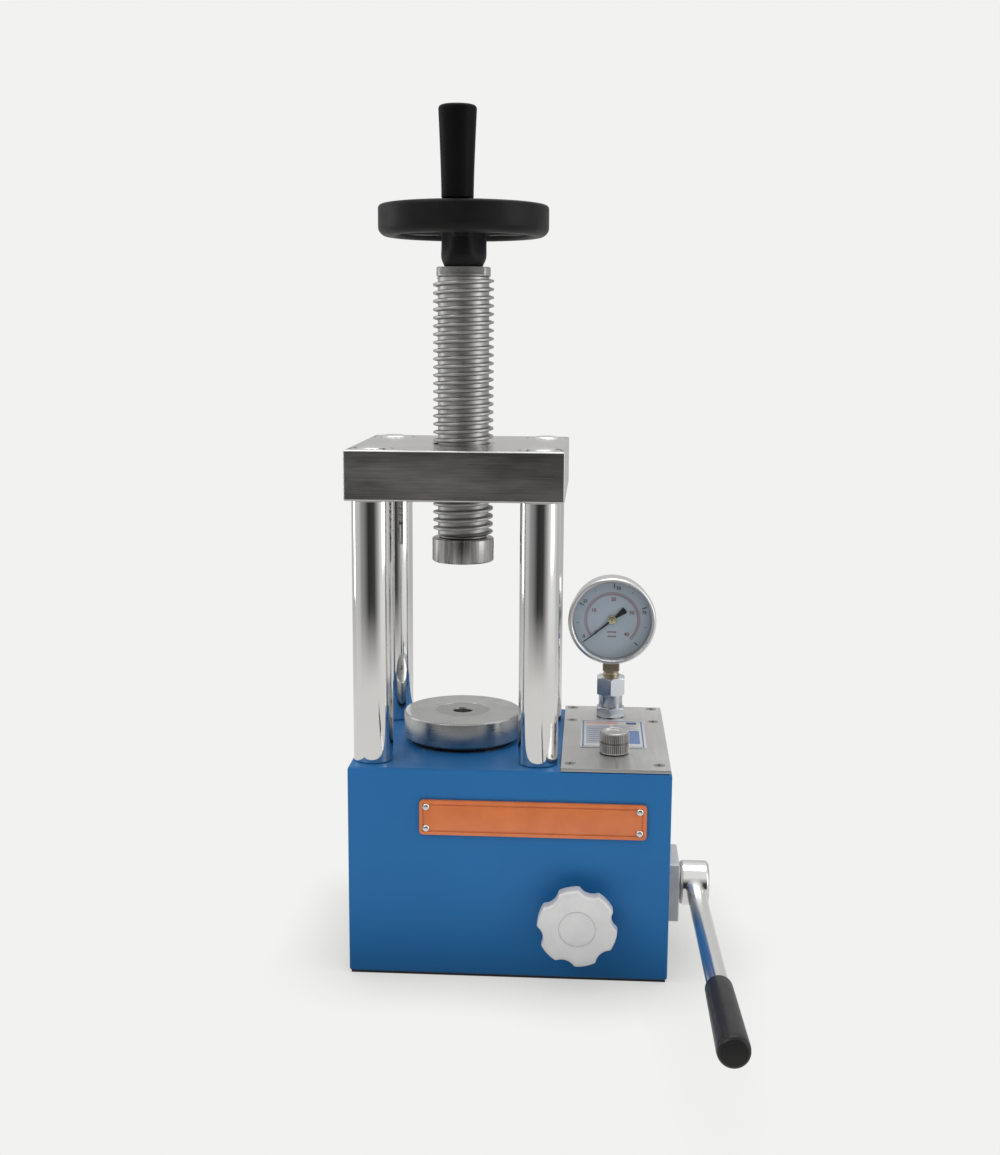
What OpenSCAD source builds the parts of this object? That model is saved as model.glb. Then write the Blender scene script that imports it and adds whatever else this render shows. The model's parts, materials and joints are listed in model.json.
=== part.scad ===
// Manual tablet press: a four-column hydraulic bench press.
// The origin lies on the surface that it stands on, under the axis of the ram and the screw.
// +X is to the operator's right, +Y is away from the operator and +Z is up. All sizes are millimetres.

/* [Housing] */
// Distance from the press axis to the left side
housing_left = 76.5; // [76:0.5:90]
// Distance from the press axis to the right side
housing_right = 157.5; // [157.5:0.5:170]
// Distance from the press axis to the front
housing_front = 84; // [84:0.5:90]
// Distance from the press axis to the back
housing_back = 96; // [96:0.5:110]
// Height of the housing's top above the bench
housing_top = 157.5; // [150:0.5:157.5]
// Thickness of the housing's walls
wall = 6; // [5:0.5:7]
// Thickness of the rubber pad under the housing
pad_t = 1.5; // [1:0.5:2]

/* [Frame] */
// Distance of each column from the press axis, along X and along Y
column_offset = 60.5; // [58:0.5:60.5]
// Diameter of a column
column_d = 29; // [24:1:29]
// Height of the crosshead's underside
crosshead_bottom = 350; // [345:1:360]
// Thickness of the crosshead
crosshead_t = 36; // [34:1:40]
// Width and depth of the crosshead
crosshead_w = 156; // [152:1:160]

/* [Ram and platen] */
// Diameter of the ram
ram_d = 70; // [60:1:70]
// Diameter of the platen
platen_d = 90; // [85:1:92]
// Thickness of the platen
platen_t = 19.5; // [14:0.5:22]
// Diameter of the locating bore in the platen
locating_bore_d = 14.5; // [12:0.5:16]

/* [Screw and handwheel] */
// Outer diameter of the screw's thread
screw_d = 45; // [42:1:45]
// Pitch of the thread
screw_pitch = 6; // [5:0.5:6]
// Diameter of the anvil
anvil_d = 46.5; // [44:0.5:48]
// Diameter of the handwheel
handwheel_d = 125; // [120:1:130]

/* [Pressure gauge] */
// Diameter of the gauge's bezel
bezel_d = 70; // [68:1:72]
// Angle of the pointer at zero, anticlockwise from +X, seen from the front
pointer_zero = 219; // [215:1:225]

/* [Pump lever] */
// Diameter of the lever rod
lever_rod_d = 14; // [12:1:15]
// Length of the lever from its pivot
lever_len = 327; // [280:1:330]
// Angle of the lever above level when it's at rest
lever_rise = 5; // [0:1:10]

/* [Release valve] */
// Diameter of the star knob
knob_d = 57.4; // [50:0.2:60]
// Number of lobes on the star knob
knob_lobes = 6; // [5:1:8]

/* [Hidden] */
$fn = 64;
fit_gap = 0.05;
screw_hole_gap = 0.1;

deck_t = 30;
deck_bottom = housing_top - deck_t;
deck_right = 74;
ceiling = housing_top - wall;
pad_inset = 1.5;
cover_t = 4;
cover_top = pad_t + cover_t;
cover_boss_x = [-64, 37, 145];
cover_boss_y = [-71.5, 83.5];

nameplate_x = [-24, 140];
nameplate_z = [109, 135];
nameplate_t = 2.5;
rivet_d = 3;

corners = [[-1, -1], [1, -1], [-1, 1], [1, 1]];
stud_d = 20;
stud_bottom = deck_bottom + 2;
crosshead_top = crosshead_bottom + crosshead_t;
cap_nut_d = 30;
cap_nut_t = 14;
bush_d = 56;
bush_lip_t = 4;

barrel_d = 104;
barrel_bottom = 22;
barrel_bolt_r = 43.5;
barrel_bolt_d = 8;
ram_bottom = 44;
wiper_d = 80;
platen_bottom = 161;
platen_top = platen_bottom + platen_t;
spigot_d = 30;
spigot_h = platen_t - 12;

anvil_bottom = 297;
anvil_top = 315;
nose_d = 30;
thread_bottom = 322;
thread_turns = 30;
thread_top = thread_bottom + thread_turns * screw_pitch;
thread_depth = 3.5;
collar_bottom = thread_top + 6;
collar_top = collar_bottom + 7;
rim_bottom = collar_top + 21.5;
rim_top = rim_bottom + 22.5;
rim_r = handwheel_d / 2;
handle_y = -48.7;
handle_h = 63;
handle_bottom = rim_top + 0.4;
wheel_screw_z = rim_top - 10;

plate_left = 77.7;
plate_right = housing_right - 1;
plate_front = -housing_front + 1;
plate_back = housing_back - 0.5;
gasket_t = 0.4;
plate_top = housing_top + 3;
plate_screw_x = [84, 148.5];
plate_screw_y = [-70, 50, 89.5];
label_t = 0.4;

gauge_x = 114.6;
gauge_y = 67;
gauge_z = 241.5;
gauge_front = 49;
gauge_back = 84;
hex_af = 22;
hex_d = hex_af / cos(30);
coupling_bottom = plate_top + 18;
coupling_top = coupling_bottom + 15;
socket_square = 13.5;

filler_x = 116.5;
filler_y = -40;
filler_d = 22;
filler_h = 16;
filler_neck_d = 12;

valve_x = 91.3;
valve_z = 49.2;
valve_spindle_d = 12;
knob_front = -housing_front - 24;
knob_back = knob_front + 11;
knob_turn = 12.7;

block_left = 110;
block_right = housing_right + 10;
block_front = -39;
block_back = 8;
block_bottom = 28.7;
block_top = 73.5;
shaft_d = 16;
shaft_y = -15;
shaft_z = 51;
boss_d = 34;
boss_left = block_right + 1.3;
boss_right = boss_left + 22;
lever_x = (boss_left + boss_right) / 2;
grip_len = 100;
crank_r = 14;
crank_drop = 25;
crank_pin_y = shaft_y - crank_r * cos(crank_drop);
crank_pin_z = shaft_z - crank_r * sin(crank_drop);
plunger_x = 98;
plunger_y = -27.75;
plunger_d = 10;
pipe_d = 8;
pipe_bend = 12;

// Round bars along each axis, given by their two ends.
module bar_x(d, x0, x1, y, z) {
    translate([x0, y, z]) rotate([0, 90, 0]) cylinder(h = x1 - x0, d = d);
}

module bar_y(d, y0, y1, x, z) {
    translate([x, y1, z]) rotate([90, 0, 0]) cylinder(h = y1 - y0, d = d);
}

module bar_z(d, z0, z1, x = 0, y = 0) {
    translate([x, y, z0]) cylinder(h = z1 - z0, d = d);
}

// A rectangle with its corners cut at 45 degrees.
module cut_rect(a0, a1, b0, b1, c) {
    polygon([
        [a0 + c, b0], [a1 - c, b0], [a1, b0 + c], [a1, b1 - c],
        [a1 - c, b1], [a0 + c, b1], [a0, b1 - c], [a0, b0 + c]
    ]);
}

// A block from corner a to corner b with every edge chamfered by c.
module block(a, b, c) {
    intersection() {
        translate([0, 0, a[2]]) linear_extrude(b[2] - a[2]) cut_rect(a[0], b[0], a[1], b[1], c);
        translate([0, b[1], 0]) rotate([90, 0, 0])
            linear_extrude(b[1] - a[1]) cut_rect(a[0], b[0], a[2], b[2], c);
        translate([a[0], 0, 0]) rotate([90, 0, 90])
            linear_extrude(b[0] - a[0]) cut_rect(a[1], b[1], a[2], b[2], c);
    }
}

module plain_block(a, b) {
    translate(a) cube(b - a);
}

// A turned ring or disc between two radii and two heights, with chamfered edges.
module turned(r0, r1, z0, z1, c) {
    rotate_extrude()
        polygon([
            [r0, z0], [r1 - c, z0], [r1, z0 + c], [r1, z1 - c], [r1 - c, z1], [r0, z1]
        ]);
}

module at_columns() {
    for (c = corners) translate([c[0] * column_offset, c[1] * column_offset, 0]) children();
}

module at_plate_screws() {
    for (x = plate_screw_x, y = plate_screw_y) translate([x, y, 0]) children();
}

module at_cover_bosses() {
    for (x = cover_boss_x, y = cover_boss_y) translate([x, y, 0]) children();
}

module at_barrel_bolts() {
    for (a = [0 : 90 : 270]) rotate(a) translate([barrel_bolt_r, 0, 0]) children();
}

module at_nameplate_rivets() {
    for (x = [nameplate_x[0] + 5, nameplate_x[1] - 5], z = [nameplate_z[0] + 5, nameplate_z[1] - 5])
        translate([x, -housing_front, z]) children();
}

// A hole for a rivet's shank, 5 deep towards the front from a depth behind the housing's front face.
module rivet_hole(depth) {
    translate([0, depth, 0]) rotate([90, 0, 0]) cylinder(h = 5, d = rivet_d + screw_hole_gap);
}

// ---- housing ----

module base_pad() {
    color([0.05, 0.05, 0.05])
        plain_block([pad_inset - housing_left, pad_inset - housing_front, 0],
            [housing_right - pad_inset, housing_back - pad_inset, pad_t]);
}

module housing() {
    inner_a = [wall - housing_left, wall - housing_front, pad_t - 1];
    color([0.15, 0.36, 0.6]) difference() {
        union() {
            difference() {
                block([-housing_left, -housing_front, pad_t],
                    [housing_right, housing_back, housing_top], 1.5);
                plain_block(inner_a, [housing_right - wall, housing_back - wall, deck_bottom]);
                plain_block([deck_right, inner_a[1], deck_bottom - 1],
                    [housing_right - wall, housing_back - wall, ceiling]);
            }
            at_cover_bosses() bar_z(16, cover_top, cover_top + 20);
        }
        at_cover_bosses() bar_z(5 + screw_hole_gap, cover_top - 1, cover_top + 14);
        plain_block([92, -58, ceiling - 1], [142, 77, housing_top + 1]);
        at_plate_screws() bar_z(4 + screw_hole_gap, housing_top - 12, housing_top + 1);
        at_columns() bar_z(stud_d + 2 * screw_hole_gap, deck_bottom - 1, housing_top + 1);
        bar_z(ram_d + 2, deck_bottom - 1, housing_top + 1);
        bar_z(wiper_d, housing_top - 5, housing_top + 1);
        at_barrel_bolts() bar_z(barrel_bolt_d + screw_hole_gap, deck_bottom - 1, deck_bottom + 20);
        bar_y(20.2, -housing_front - 1, wall - housing_front + 1, valve_x, valve_z);
        plain_block([housing_right - wall - 1, block_front - 0.3, block_bottom - 0.3],
            [housing_right + 1, block_back + 0.3, block_top + 0.3]);
        at_nameplate_rivets() rivet_hole(4);
    }
}

module bottom_cover() {
    color([0.35, 0.36, 0.38]) difference() {
        plain_block([wall + 0.3 - housing_left, wall + 0.3 - housing_front, pad_t],
            [housing_right - wall - 0.3, housing_back - wall - 0.3, cover_top]);
        at_cover_bosses() {
            bar_z(5.4, pad_t - 1, cover_top + 1);
            translate([0, 0, pad_t - 0.1]) cylinder(h = 2.6, d1 = 10.2, d2 = 5.4);
        }
    }
}

module bottom_cover_screws() {
    color([0.3, 0.3, 0.3]) at_cover_bosses() {
        translate([0, 0, pad_t]) cylinder(h = 2.4, d1 = 9.8, d2 = 5);
        bar_z(5, pad_t + 2.3, cover_top + 13);
    }
}

module nameplate() {
    y1 = -housing_front;
    y0 = y1 - nameplate_t;
    color([0.79, 0.42, 0.2]) difference() {
        block([nameplate_x[0], y0, nameplate_z[0]], [nameplate_x[1], y1, nameplate_z[1]], 0.6);
        difference() {
            plain_block([nameplate_x[0] + 9, y0 - 1, nameplate_z[0] + 3],
                [nameplate_x[1] - 9, y0 + 0.8, nameplate_z[1] - 3]);
            plain_block([nameplate_x[0] + 11, y0 - 2, nameplate_z[0] + 5],
                [nameplate_x[1] - 11, y0 + 2, nameplate_z[1] - 5]);
        }
        at_nameplate_rivets() rivet_hole(1);
    }
}

module nameplate_rivets() {
    color([0.75, 0.76, 0.77]) at_nameplate_rivets() rotate([90, 0, 0]) rotate_extrude()
        polygon([[0, -3.5], [1.5, -3.5], [1.5, 2.5], [2.5, 2.5], [2.3, 3.1], [1.6, 3.5], [0, 3.7]]);
}

// ---- hydraulic cylinder ----

module cylinder_barrel() {
    color([0.45, 0.46, 0.48]) difference() {
        turned(ram_d / 2 + fit_gap, barrel_d / 2, barrel_bottom, deck_bottom, 1);
        at_barrel_bolts() bar_z(barrel_bolt_d + 0.4, barrel_bottom - 1, deck_bottom + 1);
        bar_x(pipe_d + screw_hole_gap, 47.5, 60, 3.2, 37);
        bar_x(4, 30, 50, 3.2, 37);
    }
}

module cylinder_end_cap() {
    color([0.42, 0.43, 0.45]) difference() {
        union() {
            turned(0, barrel_d / 2, barrel_bottom - 12, barrel_bottom, 1);
            bar_z(ram_d, barrel_bottom - 1, barrel_bottom + 8);
        }
        at_barrel_bolts() {
            bar_z(barrel_bolt_d + 0.4, 0, barrel_bottom + 1);
            bar_z(13.6, 0, barrel_bottom - 4);
        }
    }
}

module cylinder_screws() {
    color([0.2, 0.2, 0.21]) at_barrel_bolts() {
        bar_z(13, barrel_bottom - 11.8, barrel_bottom - 4);
        bar_z(barrel_bolt_d, barrel_bottom - 5, deck_bottom + 18);
    }
}

module ram() {
    r = ram_d / 2;
    color([0.8, 0.81, 0.82]) rotate_extrude()
        polygon([
            [0, ram_bottom], [r - 1, ram_bottom], [r, ram_bottom + 1], [r, ram_bottom + 4],
            [r - 4, ram_bottom + 4], [r - 4, ram_bottom + 10], [r, ram_bottom + 10],
            [r, platen_bottom], [spigot_d / 2, platen_bottom],
            [spigot_d / 2, platen_bottom + spigot_h], [0, platen_bottom + spigot_h]
        ]);
}

module ram_seal() {
    color([0.1, 0.1, 0.1]) turned(ram_d / 2 - 4, ram_d / 2, ram_bottom + 4.1, ram_bottom + 9.9, 0.3);
}

module ram_wiper() {
    color([0.08, 0.08, 0.08])
        turned(ram_d / 2 + fit_gap, wiper_d / 2 - fit_gap, housing_top - 5, housing_top - 0.3, 0.4);
}

module platen() {
    color([0.6, 0.6, 0.59]) difference() {
        rotate_extrude()
            polygon([
                [0, platen_bottom], [platen_d / 2 - 1, platen_bottom], [platen_d / 2, platen_bottom + 1],
                [platen_d / 2, platen_top - 0.8], [platen_d / 2 - 0.8, platen_top], [0, platen_top]
            ]);
        bar_z(spigot_d, platen_bottom - 1, platen_bottom + spigot_h);
        bar_z(locating_bore_d, platen_bottom, platen_top + 1);
        translate([0, 0, platen_top - 1])
            cylinder(h = 1.01, d1 = locating_bore_d, d2 = locating_bore_d + 2);
    }
}

// ---- frame ----

module column(side) {
    r = column_d / 2;
    translate([side[0] * column_offset, side[1] * column_offset, 0])
        color([0.78, 0.78, 0.77]) rotate_extrude()
            polygon([
                [0, stud_bottom], [stud_d / 2, stud_bottom], [stud_d / 2, housing_top], [r, housing_top],
                [r, crosshead_bottom], [stud_d / 2, crosshead_bottom], [stud_d / 2, crosshead_top - 3],
                [0, crosshead_top - 3]
            ]);
}

module column_cap_nuts() {
    z0 = crosshead_top - cap_nut_t;
    r = cap_nut_d / 2;
    color([0.75, 0.76, 0.77]) at_columns() difference() {
        rotate_extrude()
            polygon([
                [0, z0], [r, z0], [r, crosshead_top - 0.8], [r - 0.5, crosshead_top - 0.3],
                [11, crosshead_top - 0.3], [10, crosshead_top + 0.9], [6, crosshead_top + 1.6],
                [0, crosshead_top + 1.8]
            ]);
        bar_z(stud_d + screw_hole_gap, z0 - 1, crosshead_top - 2.8);
    }
}

module crosshead() {
    h = crosshead_w / 2;
    color([0.5, 0.5, 0.5]) difference() {
        block([-h, -h, crosshead_bottom], [h, h, crosshead_top], 1.2);
        at_columns() bar_z(stud_d + 2 * screw_hole_gap, crosshead_bottom - 1, crosshead_top + 1);
        at_columns() bar_z(cap_nut_d + 2, crosshead_top - cap_nut_t, crosshead_top + 1);
        bar_z(bush_d, crosshead_bottom - 1, crosshead_top - bush_lip_t);
        bar_z(screw_d + 1.5, crosshead_bottom, crosshead_top + 1);
    }
}

module screw_bush() {
    bore = screw_d / 2 + fit_gap;
    color([0.7, 0.69, 0.66]) union() {
        turned(bore, bush_d / 2, crosshead_bottom, crosshead_top - bush_lip_t, 0.5);
        turned(bore, 25, crosshead_bottom - 3, crosshead_bottom + 1, 0.5);
    }
}

// ---- screw, anvil and handwheel ----

module lead_screw() {
    r = screw_d / 2;
    root = r - thread_depth;
    crest = 0.37 * screw_pitch;
    flank = 0.13 * screw_pitch;
    tooth = [[root, 0], [r, flank], [r, flank + crest], [root, 2 * flank + crest]];
    thread = [
        for (i = [0 : thread_turns - 1], p = tooth) [p[0], thread_bottom + i * screw_pitch + p[1]]
    ];
    below = [
        [0, anvil_bottom + 6.5], [nose_d / 2 - 1, anvil_bottom + 6.5], [nose_d / 2, anvil_bottom + 7.5],
        [nose_d / 2, anvil_bottom + 10], [nose_d / 2 - 2, anvil_bottom + 10],
        [nose_d / 2 - 2, anvil_bottom + 14], [nose_d / 2, anvil_bottom + 14],
        [nose_d / 2, anvil_top + 0.1], [18, anvil_top + 0.1], [18, thread_bottom]
    ];
    above = [
        [root, collar_bottom - 3], [17, collar_bottom - 3], [17, collar_bottom], [20, collar_bottom],
        [20, collar_top], [8, collar_top], [8, wheel_screw_z - 8], [0, wheel_screw_z - 8]
    ];
    color([0.68, 0.67, 0.64]) difference() {
        rotate_extrude() polygon(concat(below, thread, above));
        bar_z(8 + screw_hole_gap, wheel_screw_z - 25, wheel_screw_z);
        for (s = [-1, 1]) translate([0, s * 23, (collar_bottom + collar_top) / 2 + 0.5])
            cube([60, 20, collar_top - collar_bottom - 1], center = true);
    }
}

module anvil() {
    r = anvil_d / 2;
    bore = nose_d / 2 + fit_gap;
    color([0.62, 0.6, 0.58]) difference() {
        turned(0, r, anvil_bottom, anvil_top, 1);
        translate([0, 0, anvil_bottom + 6.2]) cylinder(h = 20, r = bore);
        bar_x(6 + screw_hole_gap, -r - 1, r + 1, 0, anvil_bottom + 12);
    }
}

module anvil_grub_screws() {
    color([0.2, 0.2, 0.2]) for (s = [0, 180]) rotate(s) {
        bar_x(6, nose_d / 2 + 0.3, anvil_d / 2 - 1, 0, anvil_bottom + 12);
        bar_x(3.2, nose_d / 2 - 1.5, nose_d / 2 + 1, 0, anvil_bottom + 12);
    }
}

module handwheel() {
    hub = [
        [0, collar_top], [13.9, collar_top], [15.8, collar_top + 5], [17, rim_bottom],
        [17, wheel_screw_z - 1.5], [15.5, wheel_screw_z], [0, wheel_screw_z]
    ];
    color([0.09, 0.09, 0.09]) difference() {
        union() {
            rotate_extrude() polygon(hub);
            rotate_extrude() cut_rect(rim_r - 12.5, rim_r, rim_bottom, rim_top, 2);
            bar_z(25, rim_bottom + 4, rim_top, 0, handle_y);
            for (a = [30, 150, 270])
                rotate(a) plain_block([10, -8, rim_bottom + 4], [rim_r - 5, 8, rim_bottom + 12]);
        }
        bar_z(16 + 2 * fit_gap, collar_top - 1, wheel_screw_z - 7.8);
        bar_z(9, collar_top, rim_top);
        bar_z(10, rim_bottom, rim_top + 1, 0, handle_y);
    }
}

module handwheel_screw() {
    color([0.3, 0.3, 0.31]) difference() {
        union() {
            bar_z(8, wheel_screw_z - 22, wheel_screw_z + 1);
            bar_z(20, wheel_screw_z, wheel_screw_z + 2);
            bar_z(13, wheel_screw_z + 1, wheel_screw_z + 9);
        }
        translate([0, 0, wheel_screw_z + 4]) cylinder(h = 6, d = 6 / cos(30), $fn = 6);
    }
}

module handle_spindle() {
    color([0.6, 0.6, 0.6]) union() {
        bar_z(10, rim_bottom + 5, rim_top, 0, handle_y);
        bar_z(9, rim_top - 1, handle_bottom + handle_h - 13, 0, handle_y);
    }
}

module revolving_handle() {
    base_r = 11.4;
    top_r = 13.4;
    steps = 10;
    side = [for (i = [0 : steps]) let (t = i / steps)
        [base_r + (top_r - base_r) * pow(t, 1.4), handle_bottom + (handle_h - 3) * t]];
    crown = [for (a = [15 : 15 : 90]) [top_r - 3 + 3 * cos(a), handle_bottom + handle_h - 3 + 3 * sin(a)]];
    color([0.09, 0.09, 0.09]) translate([0, handle_y, 0]) difference() {
        rotate_extrude()
            polygon(concat([[0, handle_bottom]], side, crown, [[0, handle_bottom + handle_h]]));
        bar_z(9 + 2 * fit_gap, handle_bottom - 1, handle_bottom + handle_h - 12.5);
    }
}

// ---- top plate ----

module top_plate() {
    color([0.66, 0.65, 0.63]) difference() {
        plain_block([plate_left, plate_front, housing_top + gasket_t],
            [plate_right, plate_back, plate_top]);
        at_plate_screws() {
            bar_z(4.4, housing_top, plate_top + 1);
            translate([0, 0, plate_top - 2.2]) cylinder(h = 2.25, d1 = 4.4, d2 = 8.6);
        }
        bar_z(14.4, housing_top, plate_top + 1, gauge_x, gauge_y);
        bar_z(filler_neck_d + screw_hole_gap, housing_top, plate_top + 1, filler_x, filler_y);
    }
}

module top_plate_screws() {
    color([0.7, 0.7, 0.69]) at_plate_screws() difference() {
        union() {
            bar_z(4, housing_top - 11, plate_top - 1);
            translate([0, 0, plate_top - 2.1]) cylinder(h = 2.1, d1 = 4, d2 = 8.2);
        }
        for (a = [0, 90]) rotate(a) translate([0, 0, plate_top]) cube([4.4, 1, 2.4], center = true);
    }
}

module top_plate_gasket() {
    color([0.1, 0.1, 0.1]) difference() {
        plain_block([plate_left + 1, plate_front + 1, housing_top],
            [plate_right - 1, plate_back - 1, housing_top + gasket_t]);
        plain_block([93, -57, housing_top - 1], [141, 76, housing_top + 1]);
        at_plate_screws() bar_z(4.4, housing_top - 1, housing_top + 1);
    }
}

module data_label() {
    color([0.86, 0.88, 0.92]) plain_block([91, -28.5, plate_top], [141, 49, plate_top + label_t]);
}

// ---- pressure gauge ----

module gauge_adapter() {
    color([0.7, 0.73, 0.77]) translate([gauge_x, gauge_y, 0]) difference() {
        union() {
            bar_z(14, 146, plate_top + 1);
            translate([0, 0, plate_top]) rotate(30) cylinder(h = 8, d = hex_d, $fn = 6);
            bar_z(17.5, plate_top + 8, coupling_bottom);
            bar_z(14, coupling_bottom - 1, coupling_bottom + 5.5);
        }
        bar_z(pipe_d + screw_hole_gap, 145, 152);
        bar_z(4, 145, coupling_bottom + 10);
    }
}

module gauge_coupling() {
    color([0.7, 0.73, 0.77]) translate([gauge_x, gauge_y, 0]) difference() {
        intersection() {
            translate([0, 0, coupling_bottom]) rotate(30)
                cylinder(h = coupling_top - coupling_bottom, d = hex_d, $fn = 6);
            rotate_extrude()
                polygon([
                    [0, coupling_bottom], [hex_af / 2, coupling_bottom],
                    [hex_d / 2 + 0.2, coupling_bottom + 1], [hex_d / 2 + 0.2, coupling_top - 1.4],
                    [hex_af / 2 - 0.3, coupling_top], [0, coupling_top]
                ]);
        }
        bar_z(14 + screw_hole_gap, coupling_bottom - 1, coupling_top + 1);
    }
}

module gauge_socket() {
    h = socket_square / 2;
    color([0.47, 0.4, 0.3]) translate([gauge_x, gauge_y, 0]) difference() {
        union() {
            bar_z(14, coupling_bottom + 5.7, coupling_top);
            bar_z(13, coupling_top - 1, coupling_top + 6);
            block([-h, -h, coupling_top + 5], [h, h, gauge_z - 28], 0.8);
            plain_block([-5, -5, gauge_z - 29], [5, 5, gauge_z - 24]);
        }
        bar_z(4, coupling_bottom, gauge_z - 30);
    }
}

// Turns a shape drawn around the Z axis so that its foot faces the back, on the gauge's axis.
module on_gauge(y) {
    translate([gauge_x, y, gauge_z]) rotate([90, 0, 0]) children();
}

module gauge_case() {
    h = socket_square / 2 + 0.1;
    color([0.72, 0.73, 0.74]) difference() {
        on_gauge(gauge_back) rotate_extrude()
            polygon([
                [0, 0], [31, 0], [33, 2], [33, gauge_back - gauge_front - 4.6],
                [31.2, gauge_back - gauge_front - 4.6], [31.2, 3], [30.2, 2], [0, 2]
            ]);
        plain_block([gauge_x - h, gauge_y - h, gauge_z - 40], [gauge_x + h, gauge_y + h, gauge_z - 26]);
    }
}

module gauge_bezel() {
    r = bezel_d / 2;
    color([0.82, 0.83, 0.84]) on_gauge(gauge_front + 8) rotate_extrude()
        polygon([
            [33.1, 0], [r - 0.6, 0], [r, 1], [r, 5.5], [r - 0.8, 7.4], [r - 2, 8], [r - 3.2, 7.4],
            [r - 4, 6.2], [r - 4, 5.6], [33.1, 5.6]
        ]);
}

module gauge_glass() {
    color([0.85, 0.9, 0.95, 0.4]) on_gauge(gauge_front + 4.5) turned(0, 32.6, 0, 2, 0.2);
}

module gauge_dial() {
    color([0.72, 0.77, 0.83]) on_gauge(gauge_front + 10) difference() {
        cylinder(h = 1, r = 31);
        translate([0, 0, -1]) cylinder(h = 3, d = 3.2);
    }
}

module gauge_pointer() {
    color([0.1, 0.1, 0.1]) on_gauge(gauge_front + 10) {
        translate([0, 0, -4]) cylinder(h = 6, d = 3);
        translate([0, 0, 1.4]) cylinder(h = 2.6, d = 7);
        rotate(pointer_zero) translate([0, 0, 2]) linear_extrude(0.8)
            polygon([
                [-13.5, -2], [-12.5, -2.6], [0, -0.9], [25.5, -0.3], [25.5, 0.3], [0, 0.9],
                [-12.5, 2.6], [-13.5, 2]
            ]);
    }
}

module bourdon_tube() {
    color([0.7, 0.55, 0.25]) on_gauge(70) rotate([0, 0, -80]) rotate_extrude(angle = 250)
        translate([20, 0]) circle(d = 5);
}

// ---- pipes inside the housing ----

module pressure_pipes() {
    gauge_run_z = 54;
    valve_run_y = -64;
    valve_run_x = 130;
    color([0.6, 0.6, 0.6]) {
        union() {
            bar_z(pipe_d, gauge_run_z + pipe_bend, 151, gauge_x, gauge_y);
            translate([gauge_x, gauge_y - pipe_bend, gauge_run_z + pipe_bend]) rotate([90, 0, 90])
                rotate([0, 0, -90]) rotate_extrude(angle = 90) translate([pipe_bend, 0]) circle(d = pipe_d);
            bar_y(pipe_d, block_back - 4, gauge_y - pipe_bend, gauge_x, gauge_run_z);
        }
        bar_x(pipe_d, 48, block_left + 4, 3.2, 37);
        union() {
            bar_x(pipe_d, 101, valve_run_x - pipe_bend, valve_run_y, valve_z);
            translate([valve_run_x - pipe_bend, valve_run_y + pipe_bend, valve_z]) rotate([0, 0, -90])
                rotate_extrude(angle = 90) translate([pipe_bend, 0]) circle(d = pipe_d);
            bar_y(pipe_d, valve_run_y + pipe_bend, block_front + 4, valve_run_x, valve_z);
        }
    }
}

// ---- oil filler ----

module filler_neck() {
    color([0.6, 0.6, 0.6]) translate([filler_x, filler_y, 0]) difference() {
        union() {
            bar_z(filler_neck_d, 148, plate_top + 11);
            turned(0, 9, 150, housing_top - 0.5, 0.5);
        }
        bar_z(7, 147, plate_top + 12);
    }
}

module filler_cap() {
    r = filler_d / 2;
    z0 = plate_top + 0.6;
    z1 = plate_top + 0.6 + filler_h;
    color([0.62, 0.61, 0.59]) translate([filler_x, filler_y, 0]) difference() {
        rotate_extrude()
            polygon([
                [0, z0], [r - 0.6, z0], [r, z0 + 0.6], [r, z0 + 7.6], [r - 0.5, z0 + 7.8],
                [r - 0.5, z0 + 8.4], [r, z0 + 8.6], [r, z1 - 0.8], [r - 0.8, z1], [r - 2.4, z1],
                [r - 3, z1 - 1.4], [0, z1 - 1.4]
            ]);
        bar_z(filler_neck_d + 2 * fit_gap, z0 - 1, plate_top + 11.5);
        bar_z(18.6, z0 - 1, z0 + 1.7);
    }
}

module filler_seal() {
    color([0.08, 0.08, 0.08]) translate([filler_x, filler_y, 0])
        turned(filler_neck_d / 2 + fit_gap, 9, plate_top + 0.3, plate_top + 2, 0.3);
}

// ---- release valve ----

module valve_block() {
    color([0.45, 0.46, 0.48]) difference() {
        block([77, wall - housing_front, valve_z - 14], [105, wall - housing_front + 28, valve_z + 14], 1);
        bar_y(valve_spindle_d + 2 * fit_gap, -housing_front, -61, valve_x, valve_z);
        bar_y(7.6, -62, -53.8, valve_x, valve_z);
        bar_y(4, -54, -40, valve_x, valve_z);
        bar_x(pipe_d + screw_hole_gap, 100.8, 106, -64, valve_z);
    }
}

module valve_spindle() {
    color([0.7, 0.7, 0.7]) union() {
        bar_y(valve_spindle_d, -housing_front - 6, -61.8, valve_x, valve_z);
        bar_y(10, knob_front + 4, -housing_front - 5, valve_x, valve_z);
    }
}

module valve_knob() {
    pitch = 360 / knob_lobes;
    r = knob_d / 2;
    color([0.78, 0.79, 0.8]) difference() {
        union() {
            translate([valve_x, knob_back, valve_z]) rotate([90, 0, 0])
                linear_extrude(knob_back - knob_front) difference() {
                    circle(r = r);
                    for (i = [0 : knob_lobes - 1])
                        rotate(knob_turn + i * pitch) translate([r + 7.5, 0]) circle(r = 11);
                }
            bar_y(24, knob_back - 1, knob_back + 6, valve_x, valve_z);
        }
        bar_y(10 + screw_hole_gap, knob_front + 3.9, knob_back + 7, valve_x, valve_z);
        translate([valve_x, knob_front + 0.6, valve_z]) rotate([90, 0, 0]) difference() {
            cylinder(h = 2, d = 26.5);
            translate([0, 0, -1]) cylinder(h = 4, d = 25.3);
        }
    }
}

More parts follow.
